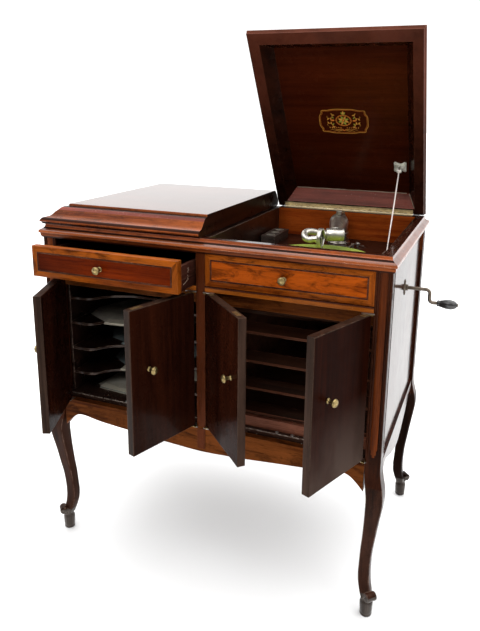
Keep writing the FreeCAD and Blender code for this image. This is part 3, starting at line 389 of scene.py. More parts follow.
def piece(name, bm, mat, body, smooth=35, replaces=()):
    me = bpy.data.meshes.new(name)
    bmesh.ops.recalc_face_normals(bm, faces=bm.faces)
    bm.to_mesh(me)
    bm.free()
    for mm in (mat if isinstance(mat, (list, tuple)) else [mat]):
        me.materials.append(mm)
    sharpen(me, smooth)
    o = bpy.data.objects.new(name, me)
    COL.objects.link(o)
    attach(o, body)
    if replaces:
        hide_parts(*replaces)
    return o


def lathe(bm, prof, origin, axis, seg=48, caps=True, flute=None, mat=0):
    """Turn (radius, along) points in mm about `axis` from `origin` (row frame, m)."""
    axis = Vector(axis).normalized()
    u = axis.orthogonal().normalized()
    v = axis.cross(u)
    rings = []
    for r, h in prof:
        c = origin + axis * (h / 1000.0)
        if r < 1e-6:
            rings.append([bm.verts.new(c)])
        else:
            ring = []
            for k in range(seg):
                a = 2 * math.pi * k / seg
                rr = r / 1000.0 * (flute(a, h) if flute else 1.0)
                ring.append(bm.verts.new(c + u * rr * math.cos(a) + v * rr * math.sin(a)))
            rings.append(ring)
    for a, b in zip(rings, rings[1:]):
        if len(a) == 1 and len(b) == 1:
            continue
        for k in range(seg):
            k2 = (k + 1) % seg
            if len(a) == 1:
                f = bm.faces.new((a[0], b[k], b[k2]))
            elif len(b) == 1:
                f = bm.faces.new((a[k], a[k2], b[0]))
            else:
                f = bm.faces.new((a[k], a[k2], b[k2], b[k]))
            f.material_index = mat
    if caps:
        for ring in (rings[0], rings[-1]):
            if len(ring) > 2:
                f = bm.faces.new(ring)
                f.material_index = mat
    return rings


def tube(bm, pts, rad, seg=24, caps=True, mat=0):
    """A round tube through points (row frame, m); rad in mm, one value or one per point."""
    n = len(pts)
    prev = None
    rings = []
    for i, p in enumerate(pts):
        t = (pts[min(i + 1, n - 1)] - pts[max(i - 1, 0)]).normalized()
        if prev is None:
            u = t.orthogonal().normalized()
        else:
            u = (prev - t * prev.dot(t)).normalized()
        prev = u
        v = t.cross(u)
        r = (rad[i] if isinstance(rad, (list, tuple)) else rad) / 1000.0
        rings.append([bm.verts.new(p + (u * math.cos(2 * math.pi * k / seg) + v * math.sin(2 * math.pi * k / seg)) * r)
                      for k in range(seg)])
    for a, b in zip(rings, rings[1:]):
        for k in range(seg):
            f = bm.faces.new((a[k], a[(k + 1) % seg], b[(k + 1) % seg], b[k]))
            f.material_index = mat
    if caps:
        for ring in (rings[0], rings[-1]):
            f = bm.faces.new(ring)
            f.material_index = mat
    return rings


def block(bm, lo, hi, mat=0, m=None):
    """Box between two corners in the cabinet frame (mm), with an optional transform."""
    a, b = W(*lo), W(*hi)
    vs = []
    for z in (a.z, b.z):
        for x, y in ((a.x, a.y), (b.x, a.y), (b.x, b.y), (a.x, b.y)):
            p = Vector((x, y, z))
            vs.append(bm.verts.new(m @ p if m else p))
    for q in ((0, 3, 2, 1), (4, 5, 6, 7), (0, 1, 5, 4), (1, 2, 6, 5), (2, 3, 7, 6), (3, 0, 4, 7)):
        f = bm.faces.new([vs[i] for i in q])
        f.material_index = mat
    return vs


def bevel_all(bm, width, seg=2, angle=30):
    es = [e for e in bm.edges if len(e.link_faces) == 2 and e.calc_face_angle(0) > math.radians(angle)]
    bmesh.ops.bevel(bm, geom=es, offset=width, segments=seg, profile=0.6, affect="EDGES", clamp_overlap=True)


# ------------------------------------------------------------------ finishes
RED = dict(deep=(0.024, 0.0042, 0.0015), mid=(0.108, 0.0185, 0.0040), light=(0.245, 0.0560, 0.0120))
ORANGE = dict(deep=(0.060, 0.0125, 0.0020), mid=(0.200, 0.0430, 0.0045), light=(0.345, 0.0900, 0.0095))
FIELD = dict(deep=(0.018, 0.0026, 0.0006), mid=(0.075, 0.0092, 0.0012), light=(0.190, 0.0330, 0.0032))
DARK = dict(deep=(0.003, 0.0008, 0.0005), mid=(0.0085, 0.0020, 0.0010), light=(0.021, 0.0048, 0.0020))
INNER = dict(deep=(0.006, 0.0024, 0.0014), mid=(0.020, 0.0075, 0.0042), light=(0.046, 0.0175, 0.0100))
LOW = dict(spec=0.05, coat_ior=1.10, ior=1.45)


def pal(p, *g):
    """A palette with each colour channel multiplied."""
    g = g if len(g) == 3 else (g[0],) * 3
    return {k: tuple(c * f for c, f in zip(v, g)) for k, v in p.items()}


m_door = wood("door_mahogany", axis="Z", seed=1.0, wear_and_highlight=0.35, wear_and_highlight_col=(0.075, 0.024, 0.010), figure=1.0, rough=(0.20, 0.34),
              coat=0.07, coat_rough=0.05, bump=0.35, contrast=0.8, spec=0.015, coat_ior=1.06, ior=1.45, **DARK)
m_door2 = wood("door_mahogany_b", axis="Z", seed=4.3, wear_and_highlight=0.35, wear_and_highlight_col=(0.075, 0.024, 0.010), figure=1.0,
               rough=(0.20, 0.34), coat=0.4, coat_rough=0.05, bump=0.35, contrast=0.8, **DARK, **LOW)
# right outer door: a darker copy of the door wood, greyed low down as a painted reflection of the floor
m_door3 = wood("door_mahogany_c", axis="Z", seed=2.6, wear_and_highlight=0.5, wear_and_highlight_col=(0.10, 0.040, 0.020), figure=1.0,
               rough=(0.34, 0.46), coat=0.05, coat_rough=0.06, bump=0.35, contrast=0.8, spec=0.01, coat_ior=1.06, ior=1.45,
               painted_sheen_band=(0.44, 0.62, (0.075, 0.052, 0.042), 0.7), **pal(DARK, 0.7, 0.55, 0.45))
# door edges: the lighter edges are wear and painted highlight
m_edge = wood("door_edge", (0.004, 0.0022, 0.0016), (0.0135, 0.0072, 0.0050), (0.036, 0.019, 0.013), axis="Z", seed=5.7, wear_and_highlight=1.3,
              wear_and_highlight_col=(0.21, 0.135, 0.09), figure=0.9, rough=(0.3, 0.45), coat=0.3, coat_rough=0.12, contrast=0.9,
              spec=0.06, coat_ior=1.12, edge_r=0.0015)
m_side = wood("side_mahogany", axis="Z", seed=2.0, wear_and_highlight=0.15, wear_and_highlight_col=(0.10, 0.035, 0.015), rough=(0.12, 0.18), coat=0.14,
              coat_rough=0.02, bump=0.06, flat_coat=True, tint=(1, 1, 1), coat_ior=1.5, spec=0.05, **pal(DARK, 1.6))
# middle bead of the posts: a lighter copy of the post wood, painted highlight
m_post_bead_highlight = wood("post_bead_painted_highlight", (0.009, 0.0022, 0.0007), (0.036, 0.0066, 0.0016), (0.100, 0.0210, 0.0042), axis="Z", seed=3.0,
              wear_and_highlight=0.8, wear_and_highlight_col=(0.24, 0.075, 0.025), coat=0.3, coat_rough=0.07, spec=0.05, coat_ior=1.12)
m_stile = wood("centre_stile_mahogany", (0.006, 0.0015, 0.0007), (0.025, 0.0046, 0.0013), (0.070, 0.0150, 0.0040), axis="Z",
               seed=3.9, wear_and_highlight=0.9, wear_and_highlight_col=(0.20, 0.065, 0.024), coat=0.3, coat_rough=0.07, spec=0.05, coat_ior=1.12)
m_postd = wood("post_dark", (0.004, 0.0011, 0.0006), (0.014, 0.0029, 0.0011), (0.037, 0.0085, 0.0028), axis="Z", seed=3.6,
               wear_and_highlight=0.6, wear_and_highlight_col=(0.13, 0.040, 0.016), coat=0.3, coat_rough=0.07, spec=0.05, coat_ior=1.12)
# back legs: a darker copy of the leg wood, painted shade
m_leg_back_shaded = wood("leg_mahogany_back_painted_shade", (0.0015, 0.0007, 0.0005), (0.004, 0.0016, 0.0011), (0.012, 0.0045, 0.0028), axis="Z", seed=5.2,
              wear_and_highlight=0.7, wear_and_highlight_col=(0.05, 0.026, 0.018), coat=0.2, coat_rough=0.09, dirt=0.6, spec=0.03, coat_ior=1.1)
# legs: the wide lighter edges are a painted highlight along the rounded edges as well as wear
m_leg = wood("leg_mahogany", (0.003, 0.0012, 0.0009), (0.009, 0.0034, 0.0022), (0.034, 0.0115, 0.0060), axis="Z", seed=5.0,
             edge_r=0.0045, wear_and_highlight=1.5, wear_and_highlight_col=(0.19, 0.115, 0.085), coat=0.36, coat_rough=0.09, dirt=0.6, spec=0.05, coat_ior=1.15)
# feet: a grey copy of the leg wood, a painted reflection of the pale floor
m_foot_floor_reflection = wood("leg_foot_grey_painted_reflection", (0.007, 0.0054, 0.0046), (0.023, 0.0180, 0.0150), (0.062, 0.050, 0.043), axis="Z", seed=5.4,
              wear_and_highlight=1.1, wear_and_highlight_col=(0.24, 0.20, 0.17), coat=0.6, coat_rough=0.11, dirt=0.7, spec=0.12, coat_ior=1.3)
# knees of the left legs: a redder copy of the post wood, painted highlight
m_knee_left_highlight = wood("leg_knee_red_painted_highlight", (0.005, 0.0013, 0.0007), (0.016, 0.0037, 0.0017), (0.044, 0.012, 0.0050), axis="Z", seed=5.8,
              wear_and_highlight=0.9, wear_and_highlight_col=(0.22, 0.08, 0.035), coat=0.3, coat_rough=0.08, dirt=0.5, spec=0.04, coat_ior=1.12)
m_block = wood("block_wood", (0.010, 0.007, 0.006), (0.030, 0.021, 0.017), (0.070, 0.052, 0.044), axis="Y", seed=5.9,
               wear_and_highlight=0.9, wear_and_highlight_col=(0.26, 0.22, 0.18), coat=0.4, coat_rough=0.12, spec=0.12, coat_ior=1.2)
m_slat2 = wood("slat_bottom", (0.028, 0.0085, 0.0050), (0.096, 0.0290, 0.0165), (0.200, 0.070, 0.040), axis="X", seed=16.3,
               wear_and_highlight=0.8, wear_and_highlight_col=(0.30, 0.14, 0.09), coat=0.25, coat_rough=0.15, spec=0.07, coat_ior=1.15)
# dark wood for painted shade lines in the grooves of the rim and lid mouldings, also used for the packing strips
m_dark_and_shade_wood = wood("rim_dark_line_and_painted_shade", axis="X", seed=7.1, wear_and_highlight=0.3, wear_and_highlight_col=(0.14, 0.05, 0.03), spec=0.06, coat_ior=1.12,
                 **pal(DARK, 1.2))
# up-facing cove of the rim: a purplish copy of the rim wood, painted reflection of the bright space above
m_rimcove_reflection = wood("rim_cove_painted_reflection", axis="X", seed=7.2, wear_and_highlight=0.6, wear_and_highlight_col=(0.30, 0.15, 0.10), coat=0.9, coat_rough=0.10,
               rough=(0.2, 0.3), dirt=0.4, spec=0.25, coat_ior=1.4, smudge=0.3, tint=(1, 0.8, 0.8), **pal(RED, 1.0, 1.2, 1.7))
m_rimnose = wood("rim_nose", axis="X", seed=7.3, wear_and_highlight=1.0, wear_and_highlight_col=(0.62, 0.34, 0.20), coat=0.6, coat_rough=0.1,
                 edge_r=0.003, chips=0.9, spec=0.2, coat_ior=1.3, **pal(RED, 1.6, 1.7, 1.8))
# rim below the nose: a darker copy of the rim wood, painted shade under the projecting nose
m_rimlow_shade = wood("rim_lower_painted_shade", axis="X", seed=7.6, wear_and_highlight=0.6, wear_and_highlight_col=(0.26, 0.09, 0.04), spec=0.08, coat_ior=1.15,
                smudge=0.4, **pal(RED, 0.75))
m_field = wood("drawer_field_left", axis="X", seed=6.0, wear_and_highlight=0.4, figure=1.2, coat=0.2, coat_rough=0.12, rough=(0.28, 0.42),
               dirt=0.4, spec=0.02, coat_ior=1.10, smudge=0.15, contrast=1.1, bump=0.6, across=(-0.47, -0.24, 0.8),
               **pal(FIELD, 0.72, 0.46, 0.3))
m_field2 = wood("drawer_field_right", axis="X", seed=9.0, wear_and_highlight=0.4, figure=1.3, coat=0.4, coat_rough=0.12,
                rough=(0.28, 0.42), dirt=0.6, spec=0.02, coat_ior=1.10, smudge=0.7, contrast=1.9, bump=0.8,
                **pal(FIELD, 1.55, 1.6, 1.0))
m_border = wood("drawer_border", axis="X", seed=6.5, wear_and_highlight=0.7, figure=1.0, coat=0.2, coat_rough=0.12, rough=(0.28, 0.42),
                dirt=0.5, spec=0.03, coat_ior=1.12, smudge=0.8, contrast=1.35, bump=0.6, **pal(ORANGE, 0.70, 0.62, 0.55))
m_borderz = wood("drawer_border_upright", axis="Z", seed=6.9, wear_and_highlight=0.7, figure=1.0, coat=0.2, coat_rough=0.12,
                 rough=(0.28, 0.42), dirt=0.5, spec=0.03, coat_ior=1.12, smudge=0.8, contrast=1.35, bump=0.6, **pal(ORANGE, 0.66, 0.58, 0.5))
m_bead = wood("dark_bead", axis="X", seed=7.7, wear_and_highlight=1.1, wear_and_highlight_col=(0.34, 0.19, 0.12), coat=0.5, coat_rough=0.1,
              spec=0.06, coat_ior=1.12, edge_r=0.0006, **pal(DARK, 2.4))
m_rim = wood("rim_mahogany", axis="X", seed=7.0, wear_and_highlight=1.0, wear_and_highlight_col=(0.42, 0.16, 0.07), coat=0.6, coat_rough=0.09, dirt=0.5,
             edge_r=0.0022, spec=0.16, coat_ior=1.3, smudge=0.5, chips=0.35, tint=(1, 0.8, 0.7), **pal(RED, 1.35, 1.3, 1.3))
m_rimtop = wood("rim_top_dark", axis="X", seed=7.9, wear_and_highlight=0.15, wear_and_highlight_col=(0.12, 0.05, 0.03), coat=0.8, coat_rough=0.07,
                rough=(0.2, 0.3), spec=0.1, coat_ior=1.45, tint=(1, 1, 1), bump=0.3, flat_coat=True, edge_r=0.002,
                **pal(DARK, 1.8))
m_rimside = wood("rim_mahogany_side", axis="Y", seed=7.4, wear_and_highlight=0.6, wear_and_highlight_col=(0.30, 0.12, 0.06), coat=0.45, coat_rough=0.12,
                 dirt=0.5, edge_r=0.0016, bump=0.2, flat_coat=True, tint=(1, 1, 1), coat_ior=1.5, **pal(RED, 0.7))
m_apron = wood("apron_mahogany", (0.012, 0.003, 0.0009), (0.046, 0.0105, 0.0024), (0.120, 0.033, 0.007), axis="X", seed=8.0,
               wear_and_highlight=0.8, wear_and_highlight_col=(0.30, 0.12, 0.05), dirt=0.8, coat=0.12, coat_rough=0.14, spec=0.02, coat_ior=1.08,
               smudge=0.7, chips=0.2, contrast=1.1)
m_rail = wood("rail_mahogany", axis="X", seed=8.6, wear_and_highlight=0.9, wear_and_highlight_col=(0.42, 0.17, 0.06), dirt=0.4, coat=0.4, coat_rough=0.12,
              spec=0.08, coat_ior=1.15, smudge=0.3, chips=0.2, **pal(ORANGE, 0.9))
m_lidtop = wood("lid_mahogany", axis="X", seed=10.0, wear_and_highlight=0.8, wear_and_highlight_col=(0.45, 0.17, 0.07), coat=0.6, coat_rough=0.08,
                rough=(0.2, 0.3), dirt=0.4, bump=0.4, chips=0.15, coat_ior=1.17, spec=0.07, smudge=0.5, tint=(1, 0.60, 0.38),
                **pal(RED, 1.05, 1.05, 1.0))
m_lidflat = wood("lid_polished_top", axis="X", seed=10.6, wear_and_highlight=0.3, wear_and_highlight_col=(0.2, 0.08, 0.04), coat=0.80, coat_rough=0.05,
                 rough=(0.10, 0.16), dirt=0.3, bump=0.1, flat_coat=True, tint=(1, 1, 1), coat_ior=1.5, spec=0.12,
                 painted_sheen_band=None, **pal(RED, 0.40))
m_lidend = wood("lid_end_dark", axis="Y", seed=10.9, wear_and_highlight=0.8, wear_and_highlight_col=(0.26, 0.16, 0.11), coat=0.3, coat_rough=0.1,
                rough=(0.24, 0.36), edge_r=0.0016, spec=0.05, coat_ior=1.1, **pal(DARK, 0.9))
m_liddark = wood("lid_inner_mahogany", (0.006, 0.0010, 0.0004), (0.018, 0.0024, 0.0006), (0.036, 0.0055, 0.0013), axis="X",
                 seed=11.0, wear_and_highlight=0.4, wear_and_highlight_col=(0.13, 0.035, 0.014), coat=0.5, coat_rough=0.05, rough=(0.20, 0.30),
                 dirt=0.2, spec=0.05, coat_ior=1.10, bump=0.5, contrast=0.7)
# side walls of the lid's hollow: a darker copy of the lid wood, painted shade
m_lidwell_shaded = wood("lid_recess_painted_shade", (0.003, 0.0008, 0.0004), (0.0075, 0.0016, 0.0006), (0.017, 0.0036, 0.0014), axis="Y",
                 seed=11.7, wear_and_highlight=0.5, wear_and_highlight_col=(0.11, 0.032, 0.014), coat=0.5, coat_rough=0.05, rough=(0.20, 0.30),
                 dirt=0.2, spec=0.05, coat_ior=1.10, bump=0.5)
# lid rails: lightened towards the top of the opened lid, a painted reddish sheen fading to dark lower down
m_lidrail = wood("lid_rail_mahogany", (0.006, 0.0015, 0.0009), (0.020, 0.0048, 0.0026), (0.048, 0.013, 0.0070), axis="X",
                 seed=11.3, wear_and_highlight=1.2, wear_and_highlight_col=(0.42, 0.21, 0.13), coat=0.4, coat_rough=0.08, rough=(0.24, 0.36),
                 dirt=0.4, spec=0.07, coat_ior=1.15, edge_r=0.0020, chips=0.25,
                 painted_sheen_band=(1.44, 1.12, (0.125, 0.034, 0.019), 0.95))
m_lidside = wood("lid_rail_side", (0.003, 0.0008, 0.0004), (0.009, 0.0020, 0.0010), (0.022, 0.0054, 0.0026), axis="Y",
                 seed=11.9, wear_and_highlight=0.9, wear_and_highlight_col=(0.22, 0.09, 0.05), coat=0.4, coat_rough=0.06, rough=(0.22, 0.34),
                 dirt=0.3, spec=0.05, coat_ior=1.10, edge_r=0.0013, painted_sheen_band=(1.46, 1.10, (0.085, 0.022, 0.012), 0.7))
# wall of the lid's hollow near the hinge: a lighter copy of the lid wood, painted light
m_lidwall_lit = wood("lid_back_wall_painted_light", (0.028, 0.0045, 0.0026), (0.098, 0.0160, 0.0090), (0.200, 0.040, 0.024), axis="X",
                 seed=11.5, wear_and_highlight=0.9, wear_and_highlight_col=(0.56, 0.36, 0.29), coat=0.5, coat_rough=0.08, rough=(0.24, 0.36),
                 dirt=0.4, spec=0.10, coat_ior=1.25, edge_r=0.0018, chips=0.5, tint=(1, 0.8, 0.7), contrast=1.2)
m_board = wood("board_mahogany", (0.005, 0.0017, 0.0012), (0.014, 0.0048, 0.0030), (0.034, 0.0110, 0.0068), axis="X",
               seed=21.0, wear_and_highlight=0.4, wear_and_highlight_col=(0.12, 0.045, 0.03), coat=0.3, coat_rough=0.12, rough=(0.3, 0.45),
               dirt=0.4, spec=0.06, coat_ior=1.15)
m_lining = wood("lining_mahogany", (0.040, 0.0060, 0.0010), (0.170, 0.0230, 0.0032), (0.340, 0.0640, 0.0085), axis="X", seed=12.0,
                wear_and_highlight=0.3, wear_and_highlight_col=(0.34, 0.13, 0.06), coat=0.4, coat_rough=0.1, dirt=0.45, spec=0.06, coat_ior=1.12,
                smudge=0.25, contrast=0.9)
m_innerx = wood("inner_wood_x", axis="X", seed=14.0, wear_and_highlight=0.3, coat=0.2, coat_rough=0.2, rough=(0.36, 0.55), pores=0.6,
                wear_and_highlight_col=(0.16, 0.075, 0.048), spec=0.06, coat_ior=1.15, **INNER)
m_inner = wood("inner_wood", axis="Y", seed=13.0, wear_and_highlight=0.25, coat=0.15, coat_rough=0.25, rough=(0.4, 0.6), pores=0.6,
               wear_and_highlight_col=(0.14, 0.065, 0.042), spec=0.06, coat_ior=1.15, **INNER)
m_back = wood("back_wood", (0.04, 0.016, 0.009), (0.09, 0.04, 0.021), (0.16, 0.075, 0.042), axis="Z", seed=15.0, wear_and_highlight=0.2,
              coat=0.05, coat_rough=0.3, rough=(0.5, 0.7), dirt=0.6)
m_slat = wood("slat_mahogany", (0.002, 0.0007, 0.0004), (0.0065, 0.0020, 0.0010), (0.016, 0.0052, 0.0026), axis="X", seed=16.0,
              wear_and_highlight=1.0, wear_and_highlight_col=(0.17, 0.065, 0.040), coat=0.12, coat_rough=0.15, spec=0.03, coat_ior=1.08)
# front faces of the slats: a lighter copy of the slat wood, painted light
m_slat_front_lit = wood("slat_front_edge_painted_light", (0.008, 0.0026, 0.0015), (0.030, 0.0095, 0.0050), (0.075, 0.0260, 0.0140), axis="X", seed=16.2,
               wear_and_highlight=1.2, wear_and_highlight_col=(0.30, 0.13, 0.085), coat=0.2, coat_rough=0.15, spec=0.04, coat_ior=1.1)
m_floorb = wood("bottom_board_wood", (0.004, 0.0018, 0.0012), (0.013, 0.0055, 0.0036), (0.032, 0.0145, 0.0100), axis="X", seed=16.9,
                wear_and_highlight=1.7, wear_and_highlight_col=(0.66, 0.55, 0.46), coat=0.5, coat_rough=0.1, spec=0.08, coat_ior=1.2, edge_r=0.0035, chips=0.9)
# shelves: the light front edges are wear and painted highlight
m_shelf = wood("shelf_wood", (0.003, 0.0012, 0.0008), (0.009, 0.0034, 0.0022), (0.022, 0.0085, 0.0055), axis="X", seed=16.6,
               wear_and_highlight=1.6, wear_and_highlight_col=(0.62, 0.46, 0.36), coat=0.7, coat_rough=0.08, spec=0.14, coat_ior=1.3, edge_r=0.0014)
m_oak = wood("drawer_side_wood", (0.004, 0.0012, 0.0008), (0.014, 0.0040, 0.0026), (0.036, 0.0120, 0.0080), axis="Y", seed=17.0,
             wear_and_highlight=0.6, wear_and_highlight_col=(0.24, 0.14, 0.09), coat=0.1, coat_rough=0.3, rough=(0.45, 0.6), dirt=0.5, spec=0.06)
m_brass = metal("old_brass", (0.34, 0.255, 0.11), (0.09, 0.060, 0.024), rough=(0.24, 0.42), tarnish=0.8, scale=2.4, spots=0.7)
m_hinge = metal("hinge_brass", (0.80, 0.70, 0.50), (0.42, 0.33, 0.20), rough=(0.26, 0.42), tarnish=0.55, scale=1.4,
                brushed=(20, 600, 600))
m_nickel = metal("nickel", (0.66, 0.63, 0.57), (0.33, 0.30, 0.25), rough=(0.30, 0.46), tarnish=0.55, scale=1.5)
m_rod = metal("stay_rod_metal", (0.90, 0.80, 0.75), (0.60, 0.50, 0.45), rough=(0.42, 0.55), tarnish=0.3, scale=1.5, metallic=0.5)
m_lug = metal("stay_plate_metal", (0.80, 0.78, 0.70), (0.36, 0.34, 0.28), rough=(0.34, 0.5), tarnish=0.45, scale=2.0,
              metallic=0.45)
m_steel = metal("steel", (0.44, 0.43, 0.41), (0.13, 0.10, 0.08), rough=(0.28, 0.45), tarnish=0.5)
m_crank = metal("crank_steel", (0.17, 0.135, 0.105), (0.045, 0.032, 0.022), rough=(0.32, 0.5), tarnish=0.7, scale=1.6)
m_iron = metal("black_iron", (0.05, 0.05, 0.05), (0.02, 0.018, 0.016), rough=(0.35, 0.55), tarnish=0.5)
m_felt = felt("green_felt")
m_paper = paper("sleeve_paper")
m_paper2 = paper("sleeve_paper_dark", (0.10, 0.13, 0.14), (0.22, 0.25, 0.24))
m_ebony = wood("ebonised_grip", (0.003, 0.003, 0.003), (0.006, 0.005, 0.005), (0.014, 0.012, 0.012), axis="X", seed=18.0,
               wear_and_highlight=0.2, wear_and_highlight_col=(0.04, 0.03, 0.025), coat=0.55, coat_rough=0.10, dirt=0.1, tint=(1, 1, 1))

# ------------------------------------------------------------------ nodes whose own shape stays, with softened edges
DR = {}
for n_, mat_, w_ in (
        ("side_panel_right", m_side, 0.0), ("side_panel_left", m_side, 0.0), ("back_panel", m_back, 0.0008),
        ("bottom_board", m_floorb, 0.001), ("centre_partition", m_shelf, 0.001), ("centre_stile", m_stile, 0.0009),
        ("front_apron", m_apron, 0.0012), ("side_and_back_aprons", m_side, 0.0012), ("door_rails", m_apron, 0.0008),
        ("drawer_case_boards", m_inner, 0.0008), ("rim_moulding", m_rim, 0.0007), ("well_lining", m_lining, 0.0008),
        ("motor_board", m_board, 0.0008),
        ("drawer_box", m_oak, 0.0008), ("record_rack", m_shelf, 0.0009), ("horn_boards", m_innerx, 0.0008),
        ("horn_elbow", m_iron, 0.0008), ("louvre_slats", m_slat, 0.001),
        ("lid_left", m_lidtop, 0.0009), ("lid_right", m_lidtop, 0.0009),
        ("door_left_outer", m_door, 0.0014), ("door_left_inner", m_door2, 0.0014), ("door_right_inner", m_door, 0.0014),
        ("door_right_outer", m_door3, 0.0014),
        ("motor_bedplate", m_iron, 0.0006),
        ("door_pivot_plates", m_steel, 0.0002), ("gooseneck", m_nickel, 0.0003), ("turntable_spindle", m_steel, 0.0003),
        ("governor", m_brass, 0.0003), ("spring_barrels", m_steel, 0.0005), ("winding_arbor", m_steel, 0.0002),
        ("crank_shaft", m_crank, 0.0003)):
    DR[n_] = dress(n_, mat_, w_)

LPIV_ = W(0, 581.0, 936.2)
LMI = (Matrix.Translation(LPIV_) @ Matrix.Rotation(math.radians(-58.6), 4, "X") @ Matrix.Translation(-LPIV_)).inverted()


def lid_rule(x0, x1, y0, y1, end, inv_=False):
    def rule(x, y, z, n):
        inside = x0 < x < x1 and y0 < y < y1 and z < 978.5
        if inside:
            if n.z < -0.9 and z > 975:
                return 1                      # the panel
            if n.y < -0.5:
                return 3                      # the wall near the hinge, in a lighter copy of the lid wood: painted light on a wall that faces up
            if abs(n.x) > 0.5 or n.y > 0.3:
                return 2                      # the other walls of the hollow, in a darker copy of the lid wood: painted shade
        if n.z < -0.7 and z < 941:
            return 4 if y < 32 else 7         # the rails that meet the case, with a painted sheen towards the top of the opened lid
        if inv_ and z < 947:
            return 4                          # outer bead of the opened lid
        if 936 < z < 941 or 947.4 < z < 953.4 or 979.5 < z < 982.2:
            return 8                          # painted shade: dark lines in the grooves between the mouldings
        if n.z > 0.97 and z > 985:
            return 5                          # the flat of the top
        if n.x * end > 0.9 and z < 989:
            return 6                          # the end in the middle of the cabinet
        return 0
    return rule


LIDM = [m_liddark, m_lidwell_shaded, m_lidwall_lit, m_lidrail, m_lidflat, m_lidend, m_lidside, m_dark_and_shade_wood]
split(DR["lid_right"], LIDM, lid_rule(499, 904, 28, 562, -1, True), LMI)
split(DR["lid_left"], LIDM, lid_rule(29, 439, 27, 564, 1))


def rim_rule(x, y, z, n):
    if (n.x > 0.25 and x > 930) or (n.x < -0.25 and x < 6):
        return 1
    if (abs(n.x) > 0.9 or abs(n.y) > 0.9 or z < 935.5) and 16 < x < 922 and 20 < y < 570:
        return 2
    # top flat: painted shade at the back under the opened lid, dark glossy wood at the front
    if z > 935.5:
        return 3 if y > 560 else 7
    # front profile, top down: rim wood; painted shade line in the crease; purplish cove (painted reflection); worn nose
    # with chips; painted shade below the nose; painted shade line at the bottom
    return 0 if z > 928 else 3 if z > 923.6 else 4 if z > 919.2 else 5 if z > 912.6 else 6 if z > 904.5 else 3


split(DR["rim_moulding"], [m_rimside, m_lidend, m_dark_and_shade_wood, m_rimcove_reflection, m_rimnose, m_rimlow_shade, m_rimtop], rim_rule)
# front faces of the slats in the lighter copy (painted light), the lowest board in the reddish bottom wood, the rest
# dark
split(DR["louvre_slats"], [m_slat2, m_slat_front_lit], lambda x, y, z, n: 2 if n.y < -0.9 else 1 if z < 490 else 0)
split(DR["well_lining"], [m_lidend], lambda x, y, z, n: 1 if x > 903 or y < 40 or n.z > 0.9 else 0)
split(DR["door_rails"], [m_rail, m_bead], lambda x, y, z, n: 2 if y < 0 and n.y < 0.5 and 813 < z < 818 else 1 if y < 9 and z > 795 else 0)
for d_ in ("door_left_outer", "door_left_inner", "door_right_inner", "door_right_outer"):
    me_ = DR[d_].data
    me_.materials.append(m_edge)
    for p_ in me_.polygons:
        if p_.area < 0.016:
            p_.material_index = 1

#PIECES
# ------------------------------------------------------------------ drawer fronts: mitred border, dark bead, streaked field


def framed(name, x0, x1, z0, z1, y0, depth, inset, field, node):
    """A front of nested rings: each profile point is (distance in from the edge, depth from the face)."""
    prof = [(0.6, depth), (0.0, depth - 0.6), (0.0, 1.5), (0.35, 0.5), (1.2, 0.05), (inset - 2.3, 0.05), (inset - 1.9, 0.45),
            (inset - 1.5, 0.3), (inset - 1.42, -0.6), (inset - 0.9, -1.3), (inset - 0.1, -1.55), (inset + 0.7, -1.3),
            (inset + 1.3, -0.6), (inset + 1.5, 0.3), (inset + 1.8, 0.5), (inset + 2.4, 0.1)]
    bm = bmesh.new()
    rings = []
    for d, h in prof:
        a, b, c, e = x0 + d, x1 - d, z0 + d, z1 - d
        rings.append([bm.verts.new(W(x, y0 + h, z)) for x, z in ((a, c), (b, c), (b, e), (a, e))])
    for k, (p, q) in enumerate(zip(rings, rings[1:])):
        for i in range(4):
            j = (i + 1) % 4
            f = bm.faces.new((p[i], p[j], q[j], q[i]))
            f.material_index = (0 if i % 2 == 0 else 1) if k < 6 else (2 if k < 14 else 3)
    f = bm.faces.new(rings[0])
    f.material_index = 0
    p = rings[-1]
    n = 12
    cols = [[bm.verts.new(p[0].co.lerp(p[1].co, i / n)) if 0 < i < n else (p[0] if i == 0 else p[1]) for i in range(n + 1)],
            [bm.verts.new(p[3].co.lerp(p[2].co, i / n)) if 0 < i < n else (p[3] if i == 0 else p[2]) for i in range(n + 1)]]
    for i in range(n):
        f = bm.faces.new((cols[0][i], cols[0][i + 1], cols[1][i + 1], cols[1][i]))
        f.material_index = 3
    return piece(name, bm, [m_border, m_borderz, m_bead, field], BODY_OF[node], smooth=32, replaces=(node,))


framed("front_framed_left", 38.85, 456.15, 818.05, 898.45, -94.95, 19.9, 17.0, m_field, "drawer_front")
framed("front_framed_right", 481.05, 897.95, 818.05, 899.95, 0.05, 19.9, 16.0, m_field2, "false_drawer_front")

# ------------------------------------------------------------------ legs with beaded posts, scrolls and feet
LEGZ = [(50, 3, 25), (64, 0.5, 28), (80, -3.5, 28.5), (95, -6.0, 29), (120, -7.2, 29), (150, -6.2, 28.5), (185, -3.9, 29.5),
        (222, 0.2, 31.5), (260, 4.0, 34), (290, 7.2, 37), (315, 9.6, 39.5), (340, 10.8, 40.9), (362, 8.4, 41.2),
        (385, 4, 39.7), (405, 1, 38.3), (423, 0, 38)]


